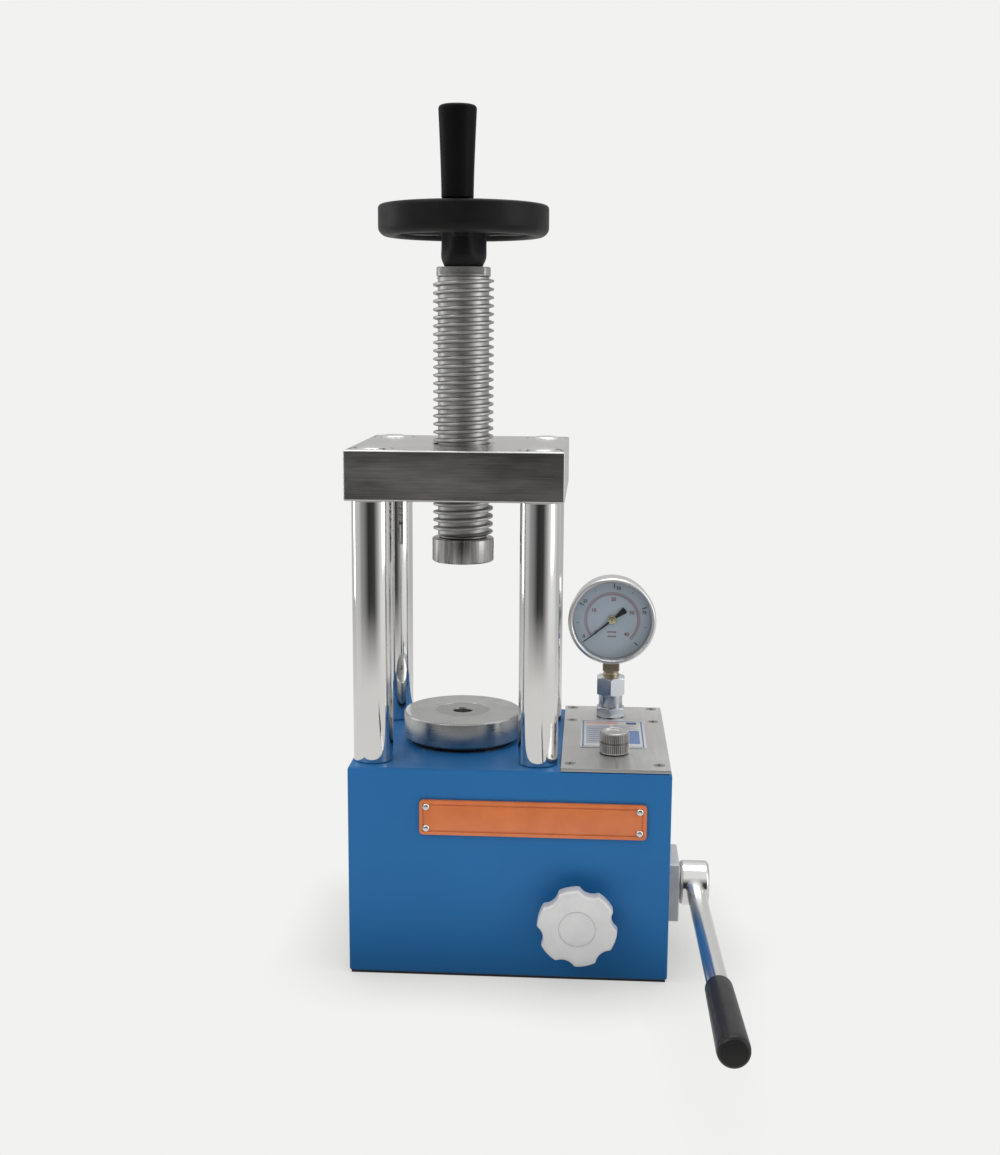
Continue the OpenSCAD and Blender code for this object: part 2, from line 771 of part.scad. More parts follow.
module valve_gland_nut() {
    color([0.6, 0.6, 0.6]) difference() {
        union() {
            translate([valve_x, -housing_front, valve_z]) rotate([90, 0, 0])
                cylinder(h = 3.5, d = hex_d, $fn = 6);
            bar_y(20, -housing_front - 1, wall - housing_front, valve_x, valve_z);
        }
        bar_y(valve_spindle_d + 2 * fit_gap, -housing_front - 6, wall - housing_front + 1,
            valve_x, valve_z);
    }
}

module valve_ball() {
    color([0.85, 0.85, 0.86]) translate([valve_x, -57.8, valve_z]) sphere(d = 7);
}

// ---- pump ----

module pump_block() {
    color([0.55, 0.56, 0.58]) difference() {
        union() {
            block([block_left, block_front, block_bottom], [block_right, block_back, block_top], 1);
            block([90, -40, 7], [block_left + 3, -14, 34], 0.8);
        }
        bar_x(shaft_d + 2 * fit_gap, block_left - 1, block_right + 1, shaft_y, shaft_z);
        bar_z(plunger_d + 2 * fit_gap, 11, 35, plunger_x, plunger_y);
        bar_x(pipe_d + screw_hole_gap, block_left - 1, block_left + 4.2, 3.2, 37);
        bar_y(pipe_d + screw_hole_gap, block_back - 4.2, block_back + 1, gauge_x, 54);
        bar_y(pipe_d + screw_hole_gap, block_front - 1, block_front + 4.2, 130, valve_z);
        for (x = [124, 142]) bar_z(7, block_bottom - 1, 46, x, 0);
        bar_z(6 + screw_hole_gap, block_bottom - 1, 37, 162, shaft_y);
    }
}

module check_valves() {
    color([0.7, 0.7, 0.7]) for (x = [124, 142]) {
        translate([x, 0, 42]) sphere(d = 6.4);
        bar_z(6.9, block_bottom, 37, x, 0);
    }
}

module drain_plug() {
    color([0.55, 0.56, 0.57]) translate([162, shaft_y, 0]) rotate_extrude()
        polygon([
            [0, 20.5], [2, 20.8], [3.4, 21.8], [4, 23.4], [4, block_bottom], [3, block_bottom],
            [3, 36], [0, 36]
        ]);
}

module pump_plunger() {
    color([0.7, 0.71, 0.72]) difference() {
        union() {
            bar_z(plunger_d, 14, 39, plunger_x, plunger_y);
            plain_block([plunger_x - 4.5, -35, 38], [plunger_x + 4.5, -20.5, crank_pin_z + 8]);
        }
        plain_block([plunger_x - 6, -33.5, crank_pin_z - 3.5], [plunger_x + 6, -22, crank_pin_z + 3.5]);
    }
}

module lever_shaft() {
    color([0.72, 0.72, 0.73]) bar_x(shaft_d, plunger_x + 5, boss_right - 1, shaft_y, shaft_z);
}

module crank_arm() {
    x0 = plunger_x + 5;
    color([0.5, 0.5, 0.51]) difference() {
        union() {
            bar_x(26, x0, x0 + 6, shaft_y, shaft_z);
            bar_x(14, x0, x0 + 6, crank_pin_y, crank_pin_z);
            translate([x0, shaft_y, shaft_z]) rotate([crank_drop, 0, 0])
                translate([0, -crank_r, -7]) cube([6, crank_r, 14]);
            bar_x(6, plunger_x - 4.5, x0 + 1, crank_pin_y, crank_pin_z);
        }
        bar_x(shaft_d + 2 * fit_gap, x0 - 1, x0 + 7, shaft_y, shaft_z);
    }
}

module shaft_washer() {
    color([0.5, 0.5, 0.5]) difference() {
        bar_x(26, boss_left - 1, boss_left, shaft_y, shaft_z);
        bar_x(shaft_d + 2 * fit_gap, boss_left - 2, boss_left + 1, shaft_y, shaft_z);
    }
}

// Puts a shape drawn along +Z on the lever's line, with its foot at the pivot.
module on_lever() {
    translate([lever_x, shaft_y, shaft_z]) rotate([90 - lever_rise, 0, 0]) children();
}

module lever_boss() {
    color([0.78, 0.79, 0.8]) difference() {
        translate([boss_left, shaft_y, shaft_z]) rotate([0, 90, 0])
            turned(0, boss_d / 2, 0, boss_right - boss_left, 1.5);
        bar_x(shaft_d + 2 * fit_gap, boss_left - 1, boss_right + 1, shaft_y, shaft_z);
        on_lever() bar_z(lever_rod_d + screw_hole_gap, 1, boss_d);
    }
}

module lever_rod() {
    color([0.8, 0.81, 0.82]) on_lever() bar_z(lever_rod_d, shaft_d / 2 + 2, lever_len - 6);
}

module lever_grip() {
    z0 = lever_len - grip_len;
    color([0.12, 0.12, 0.12]) on_lever() difference() {
        rotate_extrude()
            polygon([
                [0, z0], [8, z0], [8.6, z0 + 0.8], [9.8, lever_len - 1.5], [8.6, lever_len], [0, lever_len]
            ]);
        bar_z(lever_rod_d + screw_hole_gap, z0 - 1, lever_len - 5.8);
    }
}

base_pad();
housing();
bottom_cover();
bottom_cover_screws();
nameplate();
nameplate_rivets();
cylinder_barrel();
cylinder_end_cap();
cylinder_screws();
ram();
ram_seal();
ram_wiper();
platen();
column(corners[0]);  // column_front_left
column(corners[1]);  // column_front_right
column(corners[2]);  // column_rear_left
column(corners[3]);  // column_rear_right
column_cap_nuts();
crosshead();
screw_bush();
lead_screw();
anvil();
anvil_grub_screws();
handwheel();
handwheel_screw();
handle_spindle();
revolving_handle();
top_plate();
top_plate_screws();
top_plate_gasket();
data_label();
gauge_adapter();
gauge_coupling();
gauge_socket();
gauge_case();
gauge_bezel();
gauge_glass();
gauge_dial();
gauge_pointer();
bourdon_tube();
pressure_pipes();
filler_neck();
filler_cap();
filler_seal();
valve_block();
valve_spindle();
valve_knob();
valve_gland_nut();
valve_ball();
pump_block();
pump_plunger();
check_valves();
drain_plug();
lever_shaft();
crank_arm();
shaft_washer();
lever_boss();
lever_rod();
lever_grip();
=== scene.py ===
"""Tablet press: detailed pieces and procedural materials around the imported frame."""
import json
import math
import bmesh
import bpy
from mathutils import Matrix, Vector


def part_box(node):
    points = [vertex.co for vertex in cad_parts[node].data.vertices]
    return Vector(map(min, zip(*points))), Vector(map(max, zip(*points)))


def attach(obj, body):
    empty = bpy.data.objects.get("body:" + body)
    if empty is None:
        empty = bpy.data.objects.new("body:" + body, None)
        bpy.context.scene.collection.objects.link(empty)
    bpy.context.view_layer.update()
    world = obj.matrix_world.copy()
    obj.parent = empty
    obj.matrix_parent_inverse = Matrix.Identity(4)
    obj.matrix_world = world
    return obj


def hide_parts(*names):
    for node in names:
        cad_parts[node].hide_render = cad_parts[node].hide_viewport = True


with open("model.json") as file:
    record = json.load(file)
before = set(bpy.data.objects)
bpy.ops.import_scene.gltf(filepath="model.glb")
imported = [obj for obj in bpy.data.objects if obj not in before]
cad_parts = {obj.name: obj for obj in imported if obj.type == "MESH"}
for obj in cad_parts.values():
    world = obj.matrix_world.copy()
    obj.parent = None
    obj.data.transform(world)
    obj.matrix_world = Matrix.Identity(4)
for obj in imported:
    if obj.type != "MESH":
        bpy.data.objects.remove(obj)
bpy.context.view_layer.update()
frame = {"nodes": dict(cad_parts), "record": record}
nodes = frame["nodes"]
scene = bpy.context.scene
MM = 0.001
TAU = math.tau


# ---------------------------------------------------------------- camera, light and floor

CAMERA_AT = Vector((0.09706, -1.09202, 0.46847))
CAMERA_YAW = -0.0630
CAMERA_PITCH = 0.1669
CAMERA_ROLL = 0.0060
CAMERA_LENS = 45.51
BACKDROP = (0.888, 0.888, 0.871)


def add_camera():
    data = bpy.data.cameras.new("camera")
    data.lens = CAMERA_LENS
    data.sensor_width = 36
    data.clip_start = 0.01
    data.clip_end = 100
    camera = bpy.data.objects.new("camera", data)
    scene.collection.objects.link(camera)
    forward = Vector((
        math.sin(CAMERA_YAW) * math.cos(CAMERA_PITCH),
        math.cos(CAMERA_YAW) * math.cos(CAMERA_PITCH),
        -math.sin(CAMERA_PITCH),
    ))
    level_right = Vector((math.cos(CAMERA_YAW), -math.sin(CAMERA_YAW), 0))
    level_up = level_right.cross(forward)
    right = math.cos(CAMERA_ROLL) * level_right + math.sin(CAMERA_ROLL) * level_up
    up = math.cos(CAMERA_ROLL) * level_up - math.sin(CAMERA_ROLL) * level_right
    turn = Matrix((right, up, -forward)).transposed()
    camera.matrix_world = Matrix.Translation(CAMERA_AT) @ turn.to_4x4()
    scene.camera = camera


def area_light(name, at, target, size, power, colour):
    data = bpy.data.lights.new(name, "AREA")
    data.shape = "RECTANGLE"
    data.size, data.size_y = size
    data.energy = power
    data.color = colour
    lamp = bpy.data.objects.new(name, data)
    scene.collection.objects.link(lamp)
    lamp.location = at
    aim = Vector(target) - Vector(at)
    lamp.rotation_mode = "QUATERNION"
    lamp.rotation_quaternion = aim.to_track_quat("-Z", "Y")
    lamp.visible_camera = False
    return lamp


LAMP_TARGET = (0.04, 0, 0.28)
WARM = (1.0, 0.99, 0.97)


def add_lights():
    for name, at, size, power, colour in (
        ("key_softbox", (-1.5, -1.5, 1.9), (1.3, 1.3), 16.5, WARM),
        ("right_softbox", (2.1, -0.5, 0.9), (0.9, 1.8), 10, (0.97, 0.98, 1.0)),
        ("top_softbox", (0.1, 0.5, 2.4), (1.8, 1.4), 28, (1, 1, 1)),
        ("left_strip", (-2.0, 0.6, 0.7), (0.5, 1.6), 6, (1, 1, 1)),
    ):
        area_light(name, at, LAMP_TARGET, size, power, colour)
    bounce = area_light("bench_bounce", (0.06, -0.42, 0.004), (0.06, -0.42, 1), (0.9, 0.5), 2.7, WARM)
    bounce.visible_glossy = False


class Graph:
    """A node tree whose nodes are added a step at a time."""

    def __init__(self, tree):
        self.nodes = tree.nodes
        self.links = tree.links

    def node(self, kind, links=None, **inputs):
        made = self.nodes.new(kind)
        for key, value in inputs.items():
            made.inputs[key.replace("_", " ")].default_value = value
        for key, socket in (links or {}).items():
            self.links.new(socket, made.inputs[key])
        return made

    def feed(self, made, values):
        """Gives a node's inputs plain values or links, in their order."""
        for index, value in enumerate(values):
            if isinstance(value, (int, float)):
                made.inputs[index].default_value = value
            else:
                self.links.new(value, made.inputs[index])
        return made.outputs[0]

    def math(self, operation, a, b=0.0):
        made = self.nodes.new("ShaderNodeMath")
        made.operation = operation
        return self.feed(made, (a, b))

    def vector(self, x, y, z):
        return self.feed(self.nodes.new("ShaderNodeCombineXYZ"), (x, y, z))

    def spread(self, value, low, high, start=0.3, stop=0.7):
        """A value between start and stop, carried to the range from low to high."""
        made = self.node(
            "ShaderNodeMapRange", {"Value": value},
            From_Min=start, From_Max=stop, To_Min=low, To_Max=high,
        )
        return made.outputs[0]

    def blend(self, share, first, second):
        made = self.nodes.new("ShaderNodeMix")
        made.data_type = "RGBA"
        for key, value in (("A", first), ("B", second)):
            if isinstance(value, (tuple, list)):
                made.inputs[key].default_value = (*value[:3], 1)
            else:
                self.links.new(value, made.inputs[key])
        self.links.new(share, made.inputs["Factor"])
        return made.outputs["Result"]

    def ramp(self, place, stops):
        """Greys over a value from 0 to 1, given as (place, grey) stops."""
        made = self.node("ShaderNodeValToRGB", {0: place})
        elements = made.color_ramp.elements
        for element, (at, value) in zip(elements[:], (stops[0], stops[-1])):
            element.position, element.color = at, (value, value, value, 1)
        for at, value in stops[1:-1]:
            elements.new(at).color = (value, value, value, 1)
        return made.outputs[0]


# 0 and 1 are towards -Y, where the camera stands; 0.25 is -X, 0.5 is +Y and 0.75 is +X
ROOM_GREYS = (
    (0.0, 0.035), (0.034, 0.04), (0.060, 0.13), (0.10, 0.27), (0.15, 0.36), (0.19, 0.62), (0.27, 0.70),
    (0.31, 0.56), (0.40, 0.60), (0.50, 0.66), (0.60, 0.60), (0.68, 0.60), (0.72, 0.88), (0.80, 0.98),
    (0.84, 0.88), (0.875, 0.50), (0.915, 0.22), (0.94, 0.06), (1.0, 0.04),
)
SKY_GREYS = ((0.26, 0.0), (0.70, 1.0))
BENCH_EDGE, BENCH_FULL = -0.17, -0.28
BENCH_LIT, BENCH_MIRRORED = (0.26, 0.257, 0.25), (0.84, 0.835, 0.82)


def add_world():
    """A pale studio: what the lens sees is the flat backdrop, and what metal mirrors is a darker room."""
    world = bpy.data.worlds.new("studio")
    world.use_nodes = True
    scene.world = world
    world.node_tree.nodes.clear()
    g = Graph(world.node_tree)
    seen = g.node("ShaderNodeLightPath").outputs
    axes = g.node("ShaderNodeSeparateXYZ", {0: g.node("ShaderNodeTexCoord").outputs["Generated"]}).outputs
    around = g.ramp(g.spread(g.math("ARCTAN2", axes["X"], axes["Y"]), 0, 1, -math.pi, math.pi), ROOM_GREYS)
    with_sky = g.blend(g.ramp(axes["Z"], SKY_GREYS), around, (1, 1, 1))
    bench = g.blend(seen["Is Glossy Ray"], BENCH_LIT, BENCH_MIRRORED)
    with_bench = g.blend(g.spread(axes["Z"], 0, 1, BENCH_EDGE, BENCH_FULL), with_sky, bench)
    room = g.node("ShaderNodeBackground", {"Color": with_bench}, Strength=0.9)
    backdrop = g.node("ShaderNodeBackground", Color=(*BACKDROP, 1), Strength=1.0)
    mix = g.node(
        "ShaderNodeMixShader",
        {0: seen["Is Camera Ray"], 1: room.outputs[0], 2: backdrop.outputs[0]})
    g.node("ShaderNodeOutputWorld", {"Surface": mix.outputs[0]})


def add_floor():
    """A pale floor of the backdrop's own tone, with a soft painted contact shadow where the press stands
    close to it.
    """
    bm = bmesh.new()
    bmesh.ops.create_grid(bm, x_segments=8, y_segments=8, size=12)
    mesh = bpy.data.meshes.new("floor")
    bm.to_mesh(mesh)
    bm.free()
    floor = bpy.data.objects.new("floor", mesh)
    scene.collection.objects.link(floor)
    material = bpy.data.materials.new("pale_floor")
    material.use_nodes = True
    material.node_tree.nodes.clear()
    g = Graph(material.node_tree)
    painted_contact_shadow = g.node("ShaderNodeAmbientOcclusion", Distance=0.07)
    painted_contact_shadow.samples = 16
    # painted shadow: occlusion blends the floor's glow towards grey close to the press
    glow = g.node("ShaderNodeEmission", {"Color": g.blend(painted_contact_shadow.outputs["AO"], grey(0.42), BACKDROP)})
    g.node("ShaderNodeOutputMaterial", {"Surface": glow.outputs[0]})
    mesh.materials.append(material)
    floor.visible_glossy = False
    floor.visible_diffuse = False


# ---------------------------------------------------------------- materials

class Shader(Graph):
    """One material built on the standard surface, with its patterns in the row frame."""

    def __init__(self, name, **constants):
        self.material = bpy.data.materials.new(name)
        self.material.use_nodes = True
        super().__init__(self.material.node_tree)
        self.bsdf = self.nodes["Principled BSDF"]
        for key, value in constants.items():
            self.bsdf.inputs[key.replace("_", " ")].default_value = value
        self.place = self.nodes.new("ShaderNodeTexCoord").outputs["Object"]

    def scaled(self, scale):
        """The place in the row frame, stretched by scale along X, Y and Z."""
        return self.node("ShaderNodeMapping", {"Vector": self.place}, Scale=scale).outputs[0]

    def noise(self, scale, detail=3.0, roughness=0.55, place=None):
        made = self.node(
            "ShaderNodeTexNoise", {"Vector": place or self.place},
            Scale=scale, Detail=detail, Roughness=roughness,
        )
        return made.outputs["Fac"]

    def around(self, centre):
        """A place as distance from the Z axis through centre, angle round it and height, in m and rad."""
        shift = self.node("ShaderNodeVectorMath", {0: self.place})
        shift.operation = "SUBTRACT"
        shift.inputs[1].default_value = centre
        split = self.node("ShaderNodeSeparateXYZ", {0: shift.outputs[0]})
        x, y, z = split.outputs
        squares = self.math("ADD", self.math("MULTIPLY", x, x), self.math("MULTIPLY", y, y))
        return self.math("SQRT", squares), self.math("ARCTAN2", x, y), z

    def colour(self, socket):
        self.links.new(socket, self.bsdf.inputs["Base Color"])

    def rough(self, socket):
        self.links.new(socket, self.bsdf.inputs["Roughness"])

    def bump(self, height, depth):
        """Raises the surface by depth metres where height is 1."""
        made = self.node("ShaderNodeBump", {"Height": height}, Strength=1.0, Distance=depth)
        chain = self.bsdf.inputs["Normal"]
        if chain.is_linked:
            self.links.new(chain.links[0].from_socket, made.inputs["Normal"])
        self.links.new(made.outputs[0], chain)


def grey(value, tint=(1, 1, 1)):
    return tuple(value * t for t in tint)


def mottled(name, cloud, first, second, grain, low, high, *bumps, **constants):
    """A surface drifting between two colours and two roughnesses; a bump is (scale, detail, depth)."""
    s = Shader(name, **constants)
    s.colour(s.blend(s.spread(s.noise(*cloud), 0, 1), first, second))
    s.rough(s.spread(s.noise(*grain), low, high))
    for scale, detail, depth in bumps:
        s.bump(s.noise(scale, detail), depth)
    return s.material


def blue_paint():
    return mottled(
        "blue_paint", (9, 4), (0.0150, 0.118, 0.312), (0.0172, 0.130, 0.340), (40, 4), 0.38, 0.48,
        (700, 2, 0.00003), (2600, 2, 0.000012),
        Coat_Weight=0.02, Coat_Roughness=0.25, Specular_IOR_Level=0.13)


def orange_enamel():
    return mottled(
        "orange_enamel", (60, 4), (0.50, 0.125, 0.030), (0.58, 0.155, 0.040), (200, 3), 0.38, 0.50,
        (1800, 2, 0.00002), Coat_Weight=0.2, Coat_Roughness=0.25)


def chrome(name="hard_chrome", base=0.80, low=0.045, high=0.11):
    """Polished chrome with faint draw lines along Z and a few cloudy patches."""
    s = Shader(name, Metallic=1.0)
    s.colour(s.blend(s.spread(s.noise(14, 5), 0, 1), grey(base, (1, 0.995, 0.985)),
        grey(base * 0.93, (1, 0.99, 0.97))))
    s.rough(s.spread(s.noise(1, 3, place=s.scaled((900, 900, 8))), low, high))
    s.bump(s.noise(1, 2, place=s.scaled((1200, 1200, 10))), 0.0000005)
    return s.material


def rod_chrome():
    """Chromed bar with its draw lines along Y."""
    s = Shader("rod_chrome", Metallic=1.0)
    s.colour(s.blend(s.spread(s.noise(14, 5), 0, 1), grey(0.90), grey(0.84, (1, 0.99, 0.98))))
    s.rough(s.spread(s.noise(1, 3, place=s.scaled((120, 14, 120))), 0.17, 0.21))
    return s.material


def ground_steel(name="ground_steel", base=0.56, tint=(1.0, 0.975, 0.945), low=0.16, high=0.27):
    """Surface-ground steel: fine straight grinding marks along X, under a few soft smears."""
    s = Shader(name, Metallic=1.0)
    marks = s.noise(1, 4, 0.6, place=s.scaled((26, 1500, 1500)))
    smears = s.noise(1, 4, 0.6, place=s.scaled((14, 30, 42)))
    shade = s.blend(s.spread(smears, 0, 1), grey(base * 0.86, tint), grey(base * 1.08, tint))
    s.colour(s.blend(s.spread(marks, 0, 0.25), shade, grey(base * 1.2, tint)))
    s.rough(s.spread(s.math("ADD", marks, smears), low, high, 0.7, 1.3))
    s.bump(marks, 0.000002)
    return s.material


def turned_steel(name, base=0.60, tint=(1.0, 0.985, 0.96), low=0.2, high=0.34, pitch=0.00035, inner=0.0):
    """Lathe-turned steel with rings round the Z axis, and a duller disc of radius inner in the middle."""
    s = Shader(name, Metallic=1.0)
    distance, angle, height = s.around((0, 0, 0))
    rings = s.noise(1, 3, 0.6, s.vector(
        s.math("MULTIPLY", distance, 1 / pitch), s.math("MULTIPLY", angle, 0.6),
        s.math("MULTIPLY", height, 1 / pitch)))
    stains = s.noise(55, 5, 0.6)
    shade = s.blend(s.spread(stains, 0, 1), grey(base * 0.82, tint), grey(base * 1.08, tint))
    shade = s.blend(s.spread(rings, 0, 0.4), shade, grey(base * 1.3, tint))
    if inner:
        shade = s.blend(s.math("LESS_THAN", distance, inner), shade, grey(base * 0.78, tint))
    s.colour(shade)
    s.rough(s.spread(s.math("ADD", rings, stains), low, high, 0.7, 1.3))
    s.bump(rings, 0.0000025)
    return s.material


def drawn_steel(name, base=0.36, tint=(1.0, 0.98, 0.96)):
    """Steel with uneven upright streaks round its side."""
    s = Shader(name, Metallic=1.0)
    _, angle, height = s.around((0, 0, 0))
    broad = s.noise(1, 2, 0.5, s.vector(s.math("MULTIPLY", angle, 5), s.math("MULTIPLY", height, 6), 0.0))
    fine = s.noise(1, 3, 0.6, s.vector(s.math("MULTIPLY", angle, 26), s.math("MULTIPLY", height, 20), 3.0))
    streaks = s.math("ADD", s.math("MULTIPLY", broad, 0.55), s.math("MULTIPLY", fine, 0.45))
    s.colour(s.blend(s.spread(streaks, 0, 1, 0.38, 0.62), grey(base * 0.50, tint), grey(base * 1.45, tint)))
    s.rough(s.spread(fine, 0.22, 0.34))
    s.bump(fine, 0.000004)
    return s.material


def knurled_metal(axis_at, low, high):
    """Nickelled knurling: bright on the crests at radius high, with painted shade darkening the grooves at
    radius low.
    """
    s = Shader("knurled_nickel", Metallic=0.9)
    distance, _, _ = s.around(axis_at)
    crest = s.math("MAXIMUM", s.spread(distance, 0, 1, low, high),
        s.math("LESS_THAN", distance, low - 0.1 * MM))
    wear = s.spread(s.noise(260, 4), 0, 1)
    bright = s.blend(wear, (0.50, 0.49, 0.475), (0.60, 0.59, 0.575))
    # painted shade: the colour goes nearly black in the knurl's grooves, set by radius alone
    s.colour(s.blend(crest, (0.17, 0.165, 0.157), bright))
    s.rough(s.spread(s.noise(500, 3), 0.34, 0.46))
    s.bump(s.noise(1500, 2), 0.000006)
    return s.material


def black_plastic(name="black_plastic", base=0.006, low=0.40, high=0.52, grain=1500, depth=0.00001,
                  shine=0.16):
    return mottled(
        name, (30, 5), grey(base), grey(base * 1.45), (90, 4), low, high,
        (grain, 3, depth), Specular_IOR_Level=shine)


def rubber():
    return mottled(
        "black_rubber", (120, 4), grey(0.012), grey(0.024), (300, 3), 0.62, 0.8,
        (900, 3, 0.00005), Specular_IOR_Level=0.35)


def satin_stainless():
    """Fine brushed stainless sheet, with its brush lines along Y."""
    s = Shader("satin_stainless", Metallic=1.0)
    lines = s.noise(1, 4, 0.65, place=s.scaled((1700, 24, 600)))
    cloud = s.noise(22, 4)
    shade = s.blend(s.spread(cloud, 0, 1), (0.47, 0.465, 0.45), (0.56, 0.555, 0.535))
    s.colour(s.blend(s.spread(lines, 0, 0.4), shade, (0.70, 0.69, 0.67)))
    s.rough(s.spread(lines, 0.30, 0.46))
    s.bump(lines, 0.000008)
    return s.material


def polished_stainless(name, low, high, base):
    return mottled(
        name, (45, 4), grey(base, (1, 0.995, 0.985)), grey(base * 1.1), (260, 4), low, high,
        (1400, 2, 0.000002), Metallic=1.0)


def silver_satin():
    """Blasted and lacquered aluminium, nearly matt."""
    return mottled(
        "silver_satin", (70, 4), (0.56, 0.565, 0.57), (0.62, 0.625, 0.63), (400, 3), 0.46, 0.58,
        (2600, 3, 0.000012), Metallic=0.3, Specular_IOR_Level=0.35)


def zinc_plate(name="zinc_plate", base=0.74):
    """Bright zinc with the faint blue cast of its passivation."""
    return mottled(
        name, (38, 3), grey(base, (0.84, 0.92, 1.03)), grey(base, (0.98, 1.0, 1.02)), (160, 3), 0.20, 0.28,
        (900, 2, 0.000003), Metallic=1.0)


def dull_brass():
    return mottled(
        "dull_brass", (90, 4), (0.37, 0.30, 0.215), (0.45, 0.37, 0.265), (220, 3), 0.34, 0.46,
        (1100, 2, 0.000006), Metallic=1.0)


def gold_brass():
    return mottled(
        "gold_brass", (300, 4), (0.66, 0.56, 0.36), (0.76, 0.66, 0.45), (900, 3), 0.2, 0.32, Metallic=1.0)


def grey_casting():
    s = Shader("grey_casting", Metallic=0.6)
    s.colour(s.blend(s.spread(s.noise(60, 5), 0, 1), (0.52, 0.52, 0.515), (0.60, 0.60, 0.59)))
    s.rough(s.spread(s.noise(150, 4), 0.42, 0.54))
    s.bump(s.noise(1, 3, place=s.scaled((900, 900, 40))), 0.000008)
    return s.material


def black_oxide():
    return mottled(
        "black_oxide", (200, 4), grey(0.03), grey(0.06), (500, 3), 0.3, 0.45,
        (1800, 2, 0.00001), Metallic=0.9)


def plain_steel():
    return mottled(
        "plain_steel", (40, 5), (0.30, 0.30, 0.30), (0.42, 0.42, 0.41), (200, 4), 0.3, 0.48,
        (900, 3, 0.00001), Metallic=1.0)


def dial_face():
    return mottled(
        "dial_face", (40, 4), (0.56, 0.61, 0.69), (0.60, 0.65, 0.73), (800, 3), 0.45, 0.6,
        Specular_IOR_Level=0.3)


def ink(name, colour):
    paler = tuple(min(1, c * 1.25 + 0.01) for c in colour)
    return mottled(name, (900, 3), colour, paler, (1500, 2), 0.4, 0.55, Specular_IOR_Level=0.3)


def clear_glass():
    """Thin flat glass: clear straight through, with the gloss of its surface."""
    material = bpy.data.materials.new("clear_glass")
    material.use_nodes = True
    material.node_tree.nodes.clear()
    g = Graph(material.node_tree)
    clear = g.node("ShaderNodeBsdfTransparent", Color=(0.97, 0.985, 0.99, 1))
    gloss = g.node("ShaderNodeBsdfGlossy", Roughness=0.02)
    facing = g.node("ShaderNodeLayerWeight", Blend=0.5).outputs["Facing"]
    share = g.spread(g.math("POWER", facing, 4), 0.035, 0.7, 0, 1)
    mix = g.node("ShaderNodeMixShader", {0: share, 1: clear.outputs[0], 2: gloss.outputs[0]})
    g.node("ShaderNodeOutputMaterial", {"Surface": mix.outputs[0]})
    return material


# ---------------------------------------------------------------- mesh tools

def loft(bm, rings, cap_start=True, cap_end=True, material=0):
    """Joins rings of points, each with the same count, into a skin; a ring of one point is a tip."""
    made = [[bm.verts.new(p) for p in ring] for ring in rings]
    for low, high in zip(made, made[1:]):
        count = max(len(low), len(high))
        for i in range(count):
            j = (i + 1) % count
            if len(low) == 1:
                corners = (low[0], high[j], high[i])
            elif len(high) == 1:
                corners = (low[i], low[j], high[0])
            else:
                corners = (low[i], low[j], high[j], high[i])
            bm.faces.new(corners).material_index = material
    if cap_start and len(made[0]) > 1:
        bm.faces.new(reversed(made[0])).material_index = material
    if cap_end and len(made[-1]) > 1:
        bm.faces.new(made[-1]).material_index = material
    return made


def rounded(points, radius, steps=4):
    """An open outline with its inner corners rounded. A point may carry its own radius as a third value."""
    made = [Vector(points[0][:2])]
    for before, here, after in zip(points, points[1:], points[2:]):
        corner = Vector(here[:2])
        own = here[2] if len(here) > 2 else radius
        towards, away = Vector(before[:2]) - corner, Vector(after[:2]) - corner
        reach = min(own, towards.length * 0.48, away.length * 0.48)
        if reach < 1e-7:
            made.append(corner)
            continue
        start, stop = corner + towards.normalized() * reach, corner + away.normalized() * reach
        for i in range(steps + 1):
            t = i / steps
            made.append(start * (1 - t) ** 2 + corner * 2 * t * (1 - t) + stop * t ** 2)
    made.append(Vector(points[-1][:2]))
    return made


def turned(bm, outline, segments=96, closed=False):
    """Turns an outline of (radius, height) points round the local Z axis."""
    rings = []
    for r, h in outline:
        if r < 1e-7:
            rings.append([Vector((0, 0, h))])
        else:
            angles = [TAU * i / segments for i in range(segments)]
            rings.append([Vector((r * math.cos(a), r * math.sin(a), h)) for a in angles])
    if closed:
        rings.append(rings[0])
    loft(bm, rings, cap_start=False, cap_end=False)
    if closed:
        bmesh.ops.remove_doubles(bm, verts=bm.verts, dist=1e-7)


def millimetres(points, radius=0.3, steps=3):
    """An outline given in millimetres, with its corners rounded, in metres."""
    return [(p.x * MM, p.y * MM) for p in rounded(points, radius, steps)]


def lathe(outline, radius, segments, steps=3, closed=False):
    """A skin turned from an outline in millimetres; a closed one's last point repeats its first."""
    bm = bmesh.new()
    points = millimetres(outline, radius, steps)
    turned(bm, points[:-1] if closed else points, segments, closed)
    return bm


def polar_ring(radius, height, segments):
    """A ring whose radius is a function of the angle."""
    return [
        Vector((radius(a) * math.cos(a), radius(a) * math.sin(a), height))
        for a in (TAU * i / segments for i in range(segments))
    ]


def rounded_rectangle(x0, x1, y0, y1, r, steps=5):
    """The points of a rectangle with round corners, anticlockwise from its lower right corner."""
    made = []
    for cx, cy, start in ((x1 - r, y0 + r, -90), (x1 - r, y1 - r, 0), (x0 + r, y1 - r, 90),
        (x0 + r, y0 + r, 180)):
        for i in range(steps + 1):
            a = math.radians(start + 90 * i / steps)
            made.append((cx + r * math.cos(a), cy + r * math.sin(a)))
    return made


def place(bm, matrix):
    bmesh.ops.transform(bm, matrix=matrix, verts=bm.verts)


def move(bm, x, y, z):
    place(bm, Matrix.Translation((x, y, z)))


def along(axis, at):
    """The matrix that lays the local Z axis along an axis, from a point."""
    return Matrix.Translation(at) @ Vector(axis).to_track_quat("Z", "Y").to_matrix().to_4x4()


def to_front(x, y, z):
    """The matrix that turns a shape drawn in X and Y to face the front, with its Z towards -Y."""
    return Matrix.Translation((x, y, z)) @ Matrix.Rotation(math.radians(90), 4, "X")


